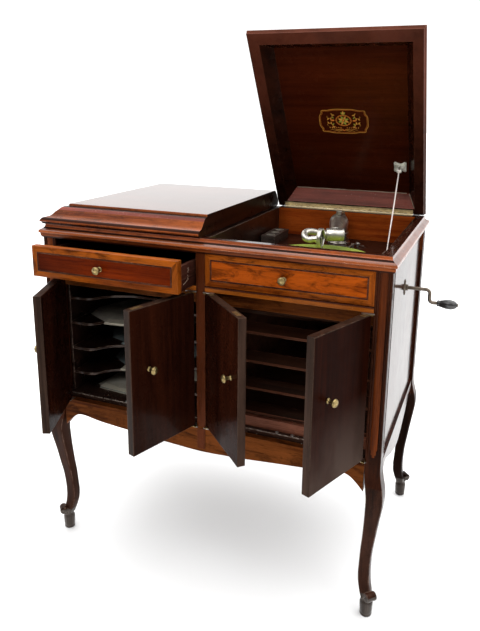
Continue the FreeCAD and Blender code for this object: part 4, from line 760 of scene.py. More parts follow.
def leg_at(z):
    """Offset and side of the leg's section at a height, run smoothly through the listed ones."""
    if z >= 423:
        return 0.0, 38.0
    i = max(k for k in range(len(LEGZ) - 1) if LEGZ[k][0] <= z + 1e-6)
    p = [LEGZ[max(0, min(len(LEGZ) - 1, i + d))] for d in (-1, 0, 1, 2)]
    t = (z - p[1][0]) / (p[2][0] - p[1][0])
    out = []
    for c in (1, 2):
        a, b, d, e = (q[c] for q in p)
        m0 = (d - a) / max(1e-6, p[2][0] - p[0][0]) * (p[2][0] - p[1][0])
        m1 = (e - b) / max(1e-6, p[3][0] - p[1][0]) * (p[2][0] - p[1][0])
        out.append((2 * t ** 3 - 3 * t ** 2 + 1) * b + (t ** 3 - 2 * t ** 2 + t) * m0 + (-2 * t ** 3 + 3 * t ** 2) * d
                   + (t ** 3 - t ** 2) * m1)
    return out[0], out[1] - 0.1


def bead_depth(t):
    a = abs(t)
    if a > 15.4:
        return 0.0
    if a > 14.6:
        return 1.9
    if a > 9.4:
        return 1.9 - 1.6 * math.sqrt(max(0.0, 1 - ((a - 12.0) / 2.6) ** 2))
    if a > 8.6:
        return 2.0
    return 2.0 - 1.9 * math.sqrt(max(0.0, 1 - (a / 8.6) ** 2))


TS = [15.6, 15.2, 14.7, 14.4, 13.6, 12.8, 12.0, 11.2, 10.4, 9.6, 9.3, 8.7, 8.4, 7.6, 6.4, 4.8, 3.2, 1.6]
TS = [-t for t in TS] + [0.0] + TS[::-1]


def leg_ring(q, c, depth, notch=False):
    """Section points (outward x, outward y), counter-clockwise; beads on the two outer faces."""
    k = (q - c) / 18.6
    pts = [(-q, q - c), (-q + 0.29 * c, q - 0.29 * c), (-q + c, q)]
    pts += [(t * k, q - depth * bead_depth(t)) for t in TS]
    pts += [(q - c, q), (q - 0.29 * c, q - 0.29 * c), (q, q - c)]
    pts += [(q - depth * bead_depth(t), -t * k) for t in TS]
    pts += [(q, -q + c), (q - c * 0.6, -q)]
    if notch:
        pts += [(-3.0, -q), (-3.0, -3.0), (-q, -3.0)]
    else:
        pts += [(0.0, -q), (-q + c * 0.6, -q), (-q, -q + c * 0.6)]
    return pts


def one_leg(bm, sx, sy):
    cx = 468 + sx * (468 - 19)
    cy = 293.5 + sy * (293.5 - 19)

    def loft(levels):
        prev = None
        first = None
        for z, depth, notch in levels:
            e, s = leg_at(z)
            q = s / 2.0
            c = 0.9 if z > 400 else (0.9 + 3.4 * min(1.0, (400 - z) / 120.0) if z > 120 else 4.3)
            c = min(c, q * 0.4)
            ring = [bm.verts.new(W(cx + sx * (e + u), cy + sy * (e + v), z)) for u, v in leg_ring(q, c, depth, notch)]
            if prev:
                for i in range(len(ring)):
                    j = (i + 1) % len(ring)
                    bm.faces.new((prev[i], prev[j], ring[j], ring[i]))
            else:
                first = ring
            prev = ring
        bm.faces.new(first)
        bm.faces.new(prev)

    zs = [50 + 2.5 * k for k in range(22)] + [106 + 5 * k for k in range(64)]
    zs = [z for z in zs if z < 440]
    lv = [(z, 0.0, False) for z in zs] + [(443.0, 0.0, False), (448.0, 0.22, False), (454.0, 0.62, False), (460.0, 0.9, False),
                                          (466.0, 1.0, False), (640, 1.0, False), (838, 1.0, False)]
    loft(lv)
    loft([(838, 1.0, True), (870, 1.0, True), (899.2, 1.0, True), (900, 1.0, True)])
    fo = W(cx + sx * 4, cy + sy * 4, 0)
    lathe(bm, [(0, 0), (11.6, 0), (13.6, 0.7), (14.8, 2.2), (15.3, 4.6), (15.2, 7.4), (14.8, 8.6), (15.4, 10), (15.9, 18), (16.3, 27),
               (16.6, 33), (16.5, 37.5), (15.7, 40.6), (14.4, 42.4), (13.6, 44.6), (13.0, 48), (12.6, 53), (0, 53.5)], fo, (0, 0, 1),
          seg=40)
    d2 = math.sqrt(0.5)
    ax = Vector((sx * d2, -sy * d2, 0))
    so = W(cx + sx * 15, cy + sy * 15, 62) - ax * 0.013
    lathe(bm, [(0, 0.9), (1.7, 0.9), (2.4, 0.4), (3.0, 0.9), (6.6, 1.2), (7.6, 0.6), (9.6, 0.2), (10.6, 0.6), (11.0, 1.8),
               (11.2, 5), (11.1, 9.5), (11.0, 13), (11.1, 16.5), (11.2, 21), (11.0, 24.2), (10.6, 25.4), (9.6, 25.8), (7.6, 25.4),
               (6.6, 24.8), (3.0, 25.1), (2.4, 25.6), (1.7, 25.1), (0, 25.1)], so, ax, seg=36)
    # spiral line on both ends of the scroll
    for end in (0.8, 25.2):
        o_ = so + ax * (end / 1000.0)
        up = Vector((0, 0, 1))
        sd = ax.cross(up)
        path = []
        for k in range(40):
            a = k / 39.0 * 2.2 * 2 * math.pi
            r = (9.4 - 7.4 * k / 39.0) / 1000.0
            path.append(o_ + up * r * math.cos(a) + sd * r * math.sin(a) * (1 if end < 5 else -1))
        tube(bm, path, 0.75, seg=8)
    # web between the scroll and the foot
    m_ = bmesh.ops.create_uvsphere(bm, u_segments=20, v_segments=12, radius=0.0122)
    for v in m_["verts"]:
        v.co = W(cx + sx * 8, cy + sy * 8, 52) + Vector((v.co.x, v.co.y, v.co.z * 1.1))


def leg_rule(x, y, z, n):
    # feet in the grey copy: painted reflection of the floor
    if z < 66:
        return 4
    # knees: the redder copy on the left legs (painted highlight), the dark post wood on the right
    if z > 372 and z < 443:
        return 5 if x < 468 else 2
    if z < 443:
        return 0
    if abs(n.x) > 0.7 and abs(x - 468) > 460:
        return 3
    # middle of the beaded post faces in the lighter copy (painted highlight), the rest in the dark post wood
    cx = 468 + (449 if x > 468 else -449)
    half = 8.7 if z > 466 else 6.0 if z > 456 else 3.6 if z > 450 else 0.0
    return 1 if abs(x - cx) < half and abs(n.x) < 0.95 and abs(n.y) > 0.2 else 2


for nm_, sy_ in (("front_legs", -1), ("back_legs", 1)):
    bm = bmesh.new()
    one_leg(bm, 1, sy_)
    one_leg(bm, -1, sy_)
    lp_ = piece("leg_pair_" + nm_[:-5], bm, m_leg if sy_ < 0 else m_leg_back_shaded, "case", smooth=40, replaces=(nm_,))
    split(lp_, [m_post_bead_highlight, m_postd, m_side, m_foot_floor_reflection, m_knee_left_highlight], leg_rule)

# ------------------------------------------------------------------ tonearm, crook and soundbox
UX, UY = -0.92, -math.sqrt(1 - 0.92 ** 2)


def arm_at(s, n, z=0.0):
    return W(705.0 + s * UX - n * UY, 296.0 + s * UY + n * UX, 912.0 + z)


def screw_head(bm, p, axis, r=1.6, h=0.9, mat=0, slot=True):
    """A round screw head with a slot, seated at p (row frame) and standing out along axis; r, h in mm."""
    axis = Vector(axis).normalized()
    lathe(bm, [(0, -0.4), (r, -0.4), (r, h * 0.35), (r * 0.85, h * 0.75), (r * 0.5, h * 0.97), (0, h)], p, axis, seg=18, mat=mat)
    if slot:
        u = axis.orthogonal().normalized()
        v = axis.cross(u)
        c = p + axis * (h * 0.96 / 1000)
        a, b, t = u * r * 0.8 / 1000, v * r * 0.16 / 1000, axis * 0.00012
        vs = [bm.verts.new(c + q + w) for w in (-t, t) for q in (-a - b, a - b, a + b, -a + b)]
        for q in ((0, 3, 2, 1), (4, 5, 6, 7), (0, 1, 5, 4), (1, 2, 6, 5), (2, 3, 7, 6), (3, 0, 4, 7)):
            f = bm.faces.new([vs[i] for i in q])
            f.material_index = mat + (1 if mat == 0 else 0)


m_dull = metal("dull_nickel", (0.52, 0.48, 0.42), (0.20, 0.16, 0.12), rough=(0.2, 0.36), tarnish=0.6, scale=1.2)
m_slot = metal("screw_slot", (0.10, 0.09, 0.08), (0.04, 0.03, 0.03), rough=(0.4, 0.6), tarnish=0.6)
m_mica = metal("diaphragm", (0.16, 0.155, 0.15), (0.07, 0.065, 0.06), rough=(0.2, 0.34), tarnish=0.5, scale=2.0)

AX_, AY_ = 690.0, 500.0
mid_ = (705 + 24 * 0.92, 296 - 24 * UY)
dxa, dya = mid_[0] - AX_, mid_[1] - AY_
LA = math.hypot(dxa, dya)
dua = Vector((dxa / LA, dya / LA, 0))
bm = bmesh.new()
lathe(bm, [(13.9, 852.3), (18.6, 852.3), (19, 852.8), (19, 886.6), (24.5, 888.2), (26.2, 889.2), (26.9, 891), (27.4, 894),
           (27.9, 898), (28.15, 903), (28.15, 907), (27.9, 911.5), (27.2, 916.5), (26, 920.5), (24.2, 924.2), (21.8, 927.6),
           (18.8, 930.6), (15.4, 932.7), (11, 933.5), (5.5, 933.75), (0, 933.8)], W(AX_, AY_, 0), (0, 0, 1), seg=72, caps=False)
lathe(bm, [(13.9, 852.3), (13.9, 902.9), (0, 903)], W(AX_, AY_, 0), (0, 0, 1), seg=48, caps=False)
o_ = W(AX_, AY_, 911)
pts_ = [o_ + dua * (t / 1000.0) for t in [4 + (LA - 14) * k / 24 for k in range(25)]]
tube(bm, pts_, [22.4 - 7.5 * k / 24 for k in range(25)], seg=56)
# a turned collar where the arm meets the cross tube, and a small screw above it
lathe(bm, [(15.4, 0), (16.2, 0.5), (16.6, 1.6), (16.2, 2.7), (15.4, 3.2)], o_ + dua * ((LA - 26) / 1000), dua, seg=56, caps=False)
uu = Vector((UX, UY, 0))
c0 = arm_at(-48, 0)
lathe(bm, [(0, 0.2), (10, 0.2), (15.4, 0.4), (16.9, 1.0), (17.4, 2.0), (17.4, 3.4), (17.0, 3.9), (17.2, 4.4), (17.5, 4.8), (17.5, 43.2),
           (17.2, 43.6), (17.0, 44.1), (17.4, 44.6), (17.4, 46.2), (16.9, 47.2), (15.4, 47.8), (12.5, 48), (0, 48)], c0, uu, seg=80)
screw_head(bm, arm_at(-26, -9, 14.6), (0, 0.35, 1), 1.9, 1.1)
screw_head(bm, arm_at(-47.9, 0, 0), (-UX, -UY, 0), 3.0, 0.1)
piece("arm_tube_set", bm, [m_nickel, m_slot], "tonearm", smooth=38, replaces=("tonearm_tube",))

# bracket: flange with screws, collar, back plate with a strap over the dome, knurled nut
bm = bmesh.new()
bo = W(AX_, AY_, 850)
lathe(bm, [(19.3, 0), (35.2, 0), (36, 0.6), (36, 3.0), (35.2, 4.2), (33.6, 4.9), (31.8, 5.2), (31.2, 6.0), (31, 8), (31, 30),
           (30.6, 32.2), (29.6, 33.6), (27.8, 34.4), (24, 34.9), (19.3, 35)], bo, (0, 0, 1), seg=80, caps=False)
lathe(bm, [(19.3, 0), (19.3, 35)], bo, (0, 0, 1), seg=80, caps=False)
for k in range(6):
    a = math.radians(30 + 60 * k)
    screw_head(bm, W(AX_ + 33.3 * math.cos(a), AY_ + 33.3 * math.sin(a), 854.9), (0, 0, 1), 1.5, 0.7)


def slab(bm, prof, y0, y1, mat=0):
    """Plate in the x-z plane of the cabinet, given by (x, z) points."""
    a = [bm.verts.new(W(x, y0, z)) for x, z in prof]
    b = [bm.verts.new(W(x, y1, z)) for x, z in prof]
    for i in range(len(prof)):
        j = (i + 1) % len(prof)
        f = bm.faces.new((a[i], a[j], b[j], b[i]))
        f.material_index = mat
    for r in (a, b):
        f = bm.faces.new(r)
        f.material_index = mat


slab(bm, [(674.2, 856), (674.2, 900), (676, 918), (679, 930), (683.5, 936.4), (690, 937.9), (696.5, 936.4), (701, 930),
          (704, 918), (705.8, 900), (705.8, 856)], 529.6, 534.3)
block(bm, (681.4, 488.6, 935.1), (698.6, 534.2, 937.8))
lathe(bm, [(0, 0), (9.2, 0), (9.5, 0.5), (9.5, 3.4), (8.6, 4.0), (8.6, 4.6), (9.3, 5.1), (9.4, 8.6), (8.6, 9.6), (5, 10), (0, 10)],
      W(AX_, AY_, 936.9), (0, 0, 1), seg=48,
      flute=lambda a, h: 1.0 - (0.025 * (1 + math.cos(a * 24)) / 2 if 4.6 < h < 9.0 else 0))
bevel_all(bm, 0.0005, 2, 40)
piece("arm_bracket_set", bm, [m_dull, m_slot], "case", smooth=38, replaces=("tonearm_bracket",))

# soundbox: drum with a lipped ring, ribbed diaphragm, stylus bar, chuck and needle
FX, FY, FZ = 707.0, 252.0, 910.3
bm = bmesh.new()
so_ = W(FX - 12, FY, FZ)
lathe(bm, [(0, 0.1), (17, 0.1), (19.5, 0.5), (21.2, 1.4), (23.6, 1.6), (25.4, 2.0), (26.3, 2.9), (26.4, 4.0), (25.9, 4.5), (25.9, 5.1),
           (26.4, 5.6), (26.5, 6.4), (26.5, 9.6), (26.2, 10.9), (25.5, 11.7), (24.4, 12.0), (23.2, 11.8), (22.4, 11.1), (22.1, 10.2),
           (22.0, 8.6)], so_, (1, 0, 0), seg=96, caps=False)
dia = [(22.0, 8.5), (20.6, 8.2), (19.6, 8.9), (18.6, 8.2), (17.6, 8.9), (16.6, 8.2), (15.6, 8.9), (14.6, 8.3), (12, 8.4), (8, 8.6),
       (4, 8.9), (2, 9.4), (0, 9.6)]
lathe(bm, dia, so_, (1, 0, 0), seg=96, caps=False, mat=1)
lathe(bm, [(0, 0), (9.6, 0), (10.8, 0.7), (11, 1.6), (11, 4.4), (10.2, 5.2), (10.4, 6.3)], W(FX - 18, FY, FZ - 4), (1, 0, 0), seg=48,
      caps=False)
tube(bm, [W(FX - 2.4, FY, FZ + 1), W(FX - 2.2, FY, FZ - 10), W(FX - 2.3, FY, FZ - 19), W(FX - 2.8, FY, FZ - 25.2)],
     [1.5, 1.2, 1.3, 1.6], seg=12)
screw_head(bm, W(FX - 2.4, FY, FZ), (1, 0, 0), 1.9, 1.0)
block(bm, (FX - 5, FY - 5.2, FZ - 27.4), (FX - 1, FY + 5.2, FZ - 23.6))
for s_ in (-1, 1):
    screw_head(bm, W(FX - 1, FY + s_ * 3.9, FZ - 25.4), (1, 0, 0), 0.9, 0.5)
lathe(bm, [(0, 0), (2.6, 0), (3.1, 0.6), (3.2, 1.4), (3.2, 7.6), (2.8, 8.4), (0, 8.5)], W(FX - 3, FY, 878), (0, 0, 1), seg=24)
lathe(bm, [(0, 0), (0.22, 0.2), (0.7, 3.0), (0.8, 6)], W(FX - 3, FY, 872.8), (0, 0, 1), seg=12)
for k in range(3):
    a = math.radians(90 + 120 * k)
    screw_head(bm, so_ + Vector((0.01195, 0.0242 * math.cos(a), 0.0242 * math.sin(a))), (1, 0, 0), 1.0, 0.4)
piece("sound_drum", bm, [m_nickel, m_mica], "gooseneck", smooth=36, replaces=("soundbox",))

# needle screw with a knurled head
bm = bmesh.new()
lathe(bm, [(0, 0), (1.5, 0), (1.6, 0.3), (1.6, 5.0), (2.2, 5.2), (2.2, 10.4), (1.8, 10.9), (0, 11)], W(FX - 2.6, FY, 881.4), (1, 0, 0), seg=24,
      flute=lambda a, h: 1.0 - (0.08 * (1 + math.cos(a * 8)) / 2 if 5.1 < h < 10.6 else 0))
piece("thumb_screw", bm, [m_nickel, m_slot], "needle_screw", smooth=36, replaces=("needle_screw",))

# ------------------------------------------------------------------ turntable and felt
TTC = (704.0, 208.0)
bm = bmesh.new()
lathe(bm, [(5.1, 856.1), (14.6, 856.1), (15, 856.5), (15, 862.3), (16, 862.5), (144, 862.5), (145.6, 861.8), (146, 860), (146, 857.4),
           (146.5, 857), (150, 857), (151.3, 857.6), (152.3, 859.2), (152.4, 861), (151.9, 861.5), (151.9, 862.1), (152.4, 862.6),
           (152.4, 866.3), (152.0, 867.1), (151.2, 867.5), (5.1, 867.5)], W(*TTC, 0), (0, 0, 1), seg=144, caps=False)
lathe(bm, [(5.1, 867.5), (5.1, 856.1)], W(*TTC, 0), (0, 0, 1), seg=144, caps=False)
for k in range(6):
    a = math.radians(60 * k + 12)
    lathe(bm, [(0, 0), (3, 0), (3, 0.5), (0, 0.6)], W(TTC[0] + 60 * math.cos(a), TTC[1] + 60 * math.sin(a), 862.2), (0, 0, -1), seg=16)
piece("plate_turned", bm, m_nickel, "turntable", smooth=34, replaces=("turntable",))
bm = bmesh.new()
random.seed(11)
ring_prev = None
prof = [(5.3, 867.55), (5.3, 869.6), (6.2, 869.95), (40, 869.98), (80, 869.95), (120, 869.98), (147, 869.95), (149.6, 869.7), (150.8, 869.0),
        (151.1, 868.2), (151.0, 867.55)]
lathe(bm, prof, W(*TTC, 0), (0, 0, 1), seg=180, caps=False)
for v in bm.verts:
    r = math.hypot(v.co.x - W(*TTC, 0).x, v.co.y - W(*TTC, 0).y)
    if r > 0.148:
        a = math.atan2(v.co.y, v.co.x)
        k = 1.0 - 0.0012 * (0.5 + 0.5 * math.sin(a * 57 + v.co.z * 9000)) * random.random() * 2
        v.co.x = W(*TTC, 0).x + (v.co.x - W(*TTC, 0).x) * k
        v.co.y = W(*TTC, 0).y + (v.co.y - W(*TTC, 0).y) * k
piece("felt_disc", bm, m_felt, "turntable", smooth=40, replaces=("turntable_felt",))

# ------------------------------------------------------------------ knobs, turned with beads
KN = [(0, 0), (6.0, 0), (6.4, 0.3), (6.4, 1.2), (5.9, 1.7), (5.0, 2.0), (4.4, 3.0), (4.1, 4.6), (3.9, 7.0), (4.1, 9.6), (4.5, 11.8),
      (5.1, 13.2), (6.2, 14.2), (8.2, 15.0), (9.4, 15.9), (9.95, 17.2), (9.9, 18.4), (9.4, 19.4), (8.7, 19.9), (8.4, 20.3), (8.6, 20.6),
      (8.1, 21.2), (6.9, 21.8), (5.8, 22.1), (5.5, 22.5), (4.9, 22.9), (3.4, 23.5), (1.8, 23.85), (0, 23.95)]
for nd_, (kx, ky, kz) in (("false_drawer_knob", (685, 0, 857)), ("drawer_knob", (242, -95, 857))):
    bm = bmesh.new()
    lathe(bm, KN, W(kx, ky, kz), (0, -1, 0), seg=56)
    piece(nd_ + "_turned", bm, m_brass, BODY_OF[nd_], smooth=36, replaces=(nd_,))
DOORS_ = [("left_outer", 38.0, 1, 68.5, 152), ("left_inner", 457.0, -1, 72.0, 152), ("right_inner", 481.0, 1, 44.5, 166),
          ("right_outer", 898.0, -1, 68.5, 152)]
DM = {}
for nm_, px_, sg_, ang_, kd_ in DOORS_:
    piv = W(px_, -4, 0)
    DM[nm_] = Matrix.Translation(piv) @ Matrix.Rotation(math.radians(-sg_ * ang_), 4, "Z") @ Matrix.Translation(-piv)


def moved(bm, m):
    for v in bm.verts:
        v.co = m @ v.co


for nm_, px_, sg_, ang_, kd_ in DOORS_:
    bm = bmesh.new()
    lathe(bm, KN, W(px_ + sg_ * (0.5 + kd_), 0, 645), (0, -1, 0), seg=56)
    for zd, up in ((800.5, 1), (437.5, -1)):
        lo, hi = sorted((zd + up * 0.05, zd + up * 1.15))
        x0, x1 = sorted((px_ + sg_ * 0.9, px_ + sg_ * 25.9))
        block(bm, (x0, 2.1, lo), (x1, 13.9, hi))
        x0, x1 = sorted((px_ + sg_ * 0.7, px_ + sg_ * 9))
        block(bm, (x0, -7.5, lo + 0.02), (x1, 3.9, hi - 0.02))
        lathe(bm, [(1.56, 0), (3.5, 0), (3.5, hi - lo), (1.56, hi - lo), (1.56, 0)], W(px_, -4, lo), (0, 0, 1), seg=28, caps=False)
        for xs in (12, 21):
            screw_head(bm, W(px_ + sg_ * xs, 8, hi - 0.3 if up > 0 else lo + 0.3), (0, 0, up), 1.7, 0.28)
    moved(bm, DM[nm_])
    nd_ = "door_knob_and_arms_" + nm_
    piece("pull_and_arms_" + nm_, bm, [m_brass, m_slot], BODY_OF[nd_], smooth=36, replaces=(nd_,))

# brass strike plates on the upper edges of the two inner doors
for nm_, x0, x1, top in (("right_inner", 640, 672, True), ("left_inner", 262, 294, True)):
    bm = bmesh.new()
    block(bm, (x0, 4, 800.2), (x1, 15, 800.9))
    for xs in (x0 + 5, x1 - 5):
        screw_head(bm, W(xs, 9.5, 800.75), (0, 0, 1), 1.6, 0.3)
    moved(bm, DM[nm_])
    piece("strike_" + nm_, bm, [m_brass, m_slot], "door_" + nm_, smooth=36)

# ------------------------------------------------------------------ crank, escutcheon and grip
bm = bmesh.new()
o_ = W(1011.2, 263, 765)
GR = [(3.6, 0.3), (6.4, 0.3), (7.4, 0.8), (8.3, 2.0), (8.5, 3.2), (8.2, 4.6), (7.9, 5.6), (8.1, 7.0), (8.7, 9.4), (9.6, 13), (10.8, 17.5),
      (11.8, 22), (12.4, 26), (12.6, 30), (12.4, 34.5), (11.8, 38.2), (10.7, 41.8), (9.2, 44.8), (7.9, 46.6), (7.2, 47.4), (7.3, 48.0),
      (6.6, 48.6), (3.6, 48.7)]
lathe(bm, GR, o_, (1, 0, 0), seg=64, caps=False)
lathe(bm, [(3.6, 48.7), (3.6, 0.3)], o_, (1, 0, 0), seg=64, caps=False)
piece("grip_turned", bm, m_ebony, "crank_grip", smooth=36, replaces=("crank_grip",))

bm = bmesh.new()
xp = 928.0
dpts = [(263 - 15, 798), (263, 798 - 21), (263 + 15, 798), (263, 798 + 21)]
for xa, xb, k in ((xp, xp + 1.5, 0.0), (xp + 1.5, xp + 2.0, 1.0)):
    ring0 = [W(xa, 263 + (y - 263) * (1 - 0.03 * k), 798 + (z - 798) * (1 - 0.03 * k)) for y, z in dpts]
    ring1 = [W(xb, 263 + (y - 263) * (1 - 0.03 * k - 0.05 * k), 798 + (z - 798) * (1 - 0.03 * k - 0.05 * k)) for y, z in dpts]
    a = [bm.verts.new(p) for p in ring0]
    b = [bm.verts.new(p) for p in ring1]
    for i in range(4):
        bm.faces.new((a[i], a[(i + 1) % 4], b[(i + 1) % 4], b[i]))
    bm.faces.new(a)
    bm.faces.new(b)
lathe(bm, [(4.6, 1.5), (9.6, 1.5), (9.4, 2.4), (8.2, 3.0), (7.8, 3.8), (7.8, 6.6), (8.0, 7.1), (7.9, 8.1), (7.0, 8.9), (4.6, 9.0),
           (4.6, 1.5)], W(xp, 263, 798), (1, 0, 0), seg=48, caps=False)
for s_ in (-1, 1):
    screw_head(bm, W(xp + 1.9, 263, 798 + s_ * 14.5), (1, 0, 0), 2.0, 1.0)
piece("crank_rose", bm, [m_crank, m_slot], "case", smooth=36, replaces=("crank_escutcheon",))

# ------------------------------------------------------------------ needle block with rimmed cups
bm = bmesh.new()
block(bm, (487, 377, 850), (529, 504, 867.4))
block(bm, (486, 376, 868), (530, 505, 876))
block(bm, (487.6, 377.6, 867.2), (528.4, 503.4, 868.2))
bevel_all(bm, 0.0011, 3, 30)
o_nb = piece("needle_block_wood", bm, m_block, "case", smooth=36, replaces=("needle_block",))
for i_, y_ in enumerate((399, 440.5, 482)):
    c_ = bmesh.new()
    lathe(c_, [(0, 861), (13, 861), (13, 880), (0, 880)], W(508, y_, 0), (0, 0, 1), seg=48)
    cm = bpy.data.meshes.new("cutter")
    bmesh.ops.recalc_face_normals(c_, faces=c_.faces)
    c_.to_mesh(cm)
    c_.free()
    co_ = bpy.data.objects.new("cutter", cm)
    COL.objects.link(co_)
    md = o_nb.modifiers.new("b", "BOOLEAN")
    md.operation = "DIFFERENCE"
    md.object = co_
    md.solver = "EXACT"
    settle(o_nb)
    bpy.data.objects.remove(co_)
sharpen(o_nb.data, 36)
bm = bmesh.new()
for y_ in (399, 440.5, 482):
    lathe(bm, [(0, 861.15), (8, 861.2), (11.6, 862.6), (12.6, 865), (12.7, 875.6), (12.9, 875.98), (12.2, 875.98), (12.0, 865.4), (11.0, 863.4),
               (8, 862.2), (0, 861.9)], W(508, y_, 0), (0, 0, 1), seg=48, caps=False)
random.seed(5)
for y_ in (399, 440.5, 482):
    for k in range(26):
        a, t = random.uniform(0, 6.283), random.uniform(0, 7.5)
        p = W(508 + t * math.cos(a), y_ + t * math.sin(a), 862.6 + random.uniform(0, 1.8))
        d = Vector((random.uniform(-1, 1), random.uniform(-1, 1), random.uniform(-0.06, 0.06))).normalized()
        tube(bm, [p - d * 0.0035, p + d * 0.001, p + d * 0.0036], [0.42, 0.42, 0.08], seg=6)
piece("needle_cup_liners", bm, m_nickel, "case", smooth=36)

# ------------------------------------------------------------------ speed regulator, index plate, brake
bm = bmesh.new()
lathe(bm, [(0, 834.2), (2.6, 834.2), (3, 834.7), (3, 855.8), (7.2, 856), (7.5, 856.5), (7.5, 859.8), (7.1, 860.6), (5.4, 861.2), (4.8, 862.2),
           (3.6, 862.9), (0, 863)], W(759, 458, 0), (0, 0, 1), seg=48, flute=lambda a, h: 1 - (0.05 * (1 + math.cos(a * 20)) / 2
                                                                                    if 856.2 < h < 860.2 else 0))
block(bm, (760, 457.0, 853.3), (776.5, 459.0, 854.3))
lathe(bm, [(0, 853.2), (2.2, 853.2), (2.2, 854.4), (0, 854.5)], W(775.5, 458, 0), (0, 0, 1), seg=16)
piece("regulator_knob", bm, m_nickel, "speed_regulator", smooth=36, replaces=("speed_regulator",))

m_enamel = paper("enamel_plate", (0.50, 0.46, 0.40), (0.72, 0.68, 0.60))
bm = bmesh.new()
arc = [(769.2 + 18.4 * k / 12, 466.8 - 2.2 * (1 - math.sin(math.pi * k / 12))) for k in range(13)]
ring0 = [(769.4, 449.4), (787.6, 449.4)] + [(787.8 - 18.4 * k / 12, 466.4 - 1.8 * (1 - math.sin(math.pi * k / 12))) for k in range(13)]
a = [bm.verts.new(W(x, y, 850.0)) for x, y in ring0]
b = [bm.verts.new(W(x, y, 850.9)) for x, y in ring0]
for i in range(len(ring0)):
    j = (i + 1) % len(ring0)
    bm.faces.new((a[i], a[j], b[j], b[i]))
bm.faces.new(a)
bm.faces.new(b)
piece("index_plate", bm, m_enamel, "case", smooth=36)
bm = bmesh.new()
for k in range(9):
    t = -40 + 10 * k
    ca, sa = math.cos(math.radians(t * 0.9)), math.sin(math.radians(t * 0.9))
    p = W(766 + 13.5 * ca, 458 + 10.5 * sa, 850.95)
    q = W(766 + 17.0 * ca, 458 + 13.0 * sa, 850.95)
    tube(bm, [p, q], 0.12, seg=6)
piece("index_marks", bm, m_slot, "case", smooth=36)

bm = bmesh.new()
lathe(bm, [(0, 834.2), (2.6, 834.2), (3, 834.7), (3, 860), (5.8, 860), (6, 860.4), (6, 862.8), (5.2, 863.6), (3, 864), (0, 864)],
      W(750, 436, 0), (0, 0, 1), seg=40)
screw_head(bm, W(750, 436, 863.4), (0, 0, 1), 2.6, 0.58)
slab(bm, [(747.6, 860.1), (752.4, 860.1), (752.4, 862.9), (747.6, 862.9)], 377, 435)
block(bm, (743.2, 368.4, 858.7), (754.8, 377.8, 865.8))
bevel_all(bm, 0.0005, 2, 40)
piece("brake_arm", bm, [m_nickel, m_slot], "brake_lever", smooth=36, replaces=("brake_lever",))
bm = bmesh.new()
block(bm, (743.4, 366.1, 858.9), (754.6, 368.6, 865.6))
bevel_all(bm, 0.0004, 2, 40)
piece("brake_pad", bm, m_felt, "brake_lever", smooth=36)

# ------------------------------------------------------------------ lid hinges: drawn leaves, knuckles and screws
HY_, HZ_ = 581.0, 936.2
LPIV = W(0, HY_, HZ_)
LM = Matrix.Translation(LPIV) @ Matrix.Rotation(math.radians(-58.6), 4, "X") @ Matrix.Translation(-LPIV)
NK = 45


def hinge_leaf(bm, x0, x1, up):
    """One leaf (up = 1 on the lid, -1 on the case) with its share of the knuckles."""
    w = (x1 - x0) / NK
    ya = HY_ - (17.4 if up > 0 else 14.7)
    z0, z1 = (HZ_ + 0.45, HZ_ + 1.55) if up > 0 else (HZ_ - 1.55, HZ_ - 0.45)
    block(bm, (x0, ya, z0), (x1, HY_ - 3.7, z1))
    for i in range(NK):
        if i % 2 == (1 if up > 0 else 0):
            a, b = x0 + i * w + 0.12, x0 + (i + 1) * w - 0.12
            lathe(bm, [(1.3, 0), (2.3, 0), (2.48, 0.3), (2.48, b - a - 0.3), (2.3, b - a), (1.3, b - a)], W(a, HY_, HZ_), (1, 0, 0),
                  seg=18, caps=False)
            block(bm, (a + 0.1, HY_ - 4.2, z0 + 0.05), (b - 0.1, HY_ - 1.6, z1 - 0.05))
    k = 0
    x = x0 + 11
    while x < x1 - 6:
        yy = (ya + HY_ - 4.5) / 2 + (1.6 if k % 2 else -1.6)
        screw_head(bm, W(x, yy, z0 if up > 0 else z1), (0, 0, -up), 1.9, 0.16)
        x += 23.8
        k += 1


bm = bmesh.new()
hinge_leaf(bm, 492, 896, -1)
hinge_leaf(bm, 42, 446, -1)
for x0, x1 in ((492, 896), (42, 446)):
    lathe(bm, [(0, 0.2), (1.1, 0.2), (1.2, 0.4), (1.2, x1 - x0 - 0.4), (1.1, x1 - x0 - 0.2), (0, x1 - x0 - 0.2)], W(x0, HY_, HZ_),
          (1, 0, 0), seg=16)
piece("long_hinge_case", bm, [m_hinge, m_slot], "case", smooth=36, replaces=("lid_hinge_case_leaves",))
bm = bmesh.new()
hinge_leaf(bm, 492, 896, 1)
moved(bm, LM)
piece("long_hinge_right", bm, [m_hinge, m_slot], "lid_right", smooth=36,
      replaces=("lid_hinge_leaf_right",))
bm = bmesh.new()
hinge_leaf(bm, 42, 446, 1)
piece("long_hinge_left", bm, [m_hinge, m_slot], "lid_left", smooth=36, replaces=("lid_hinge_leaf_left",))

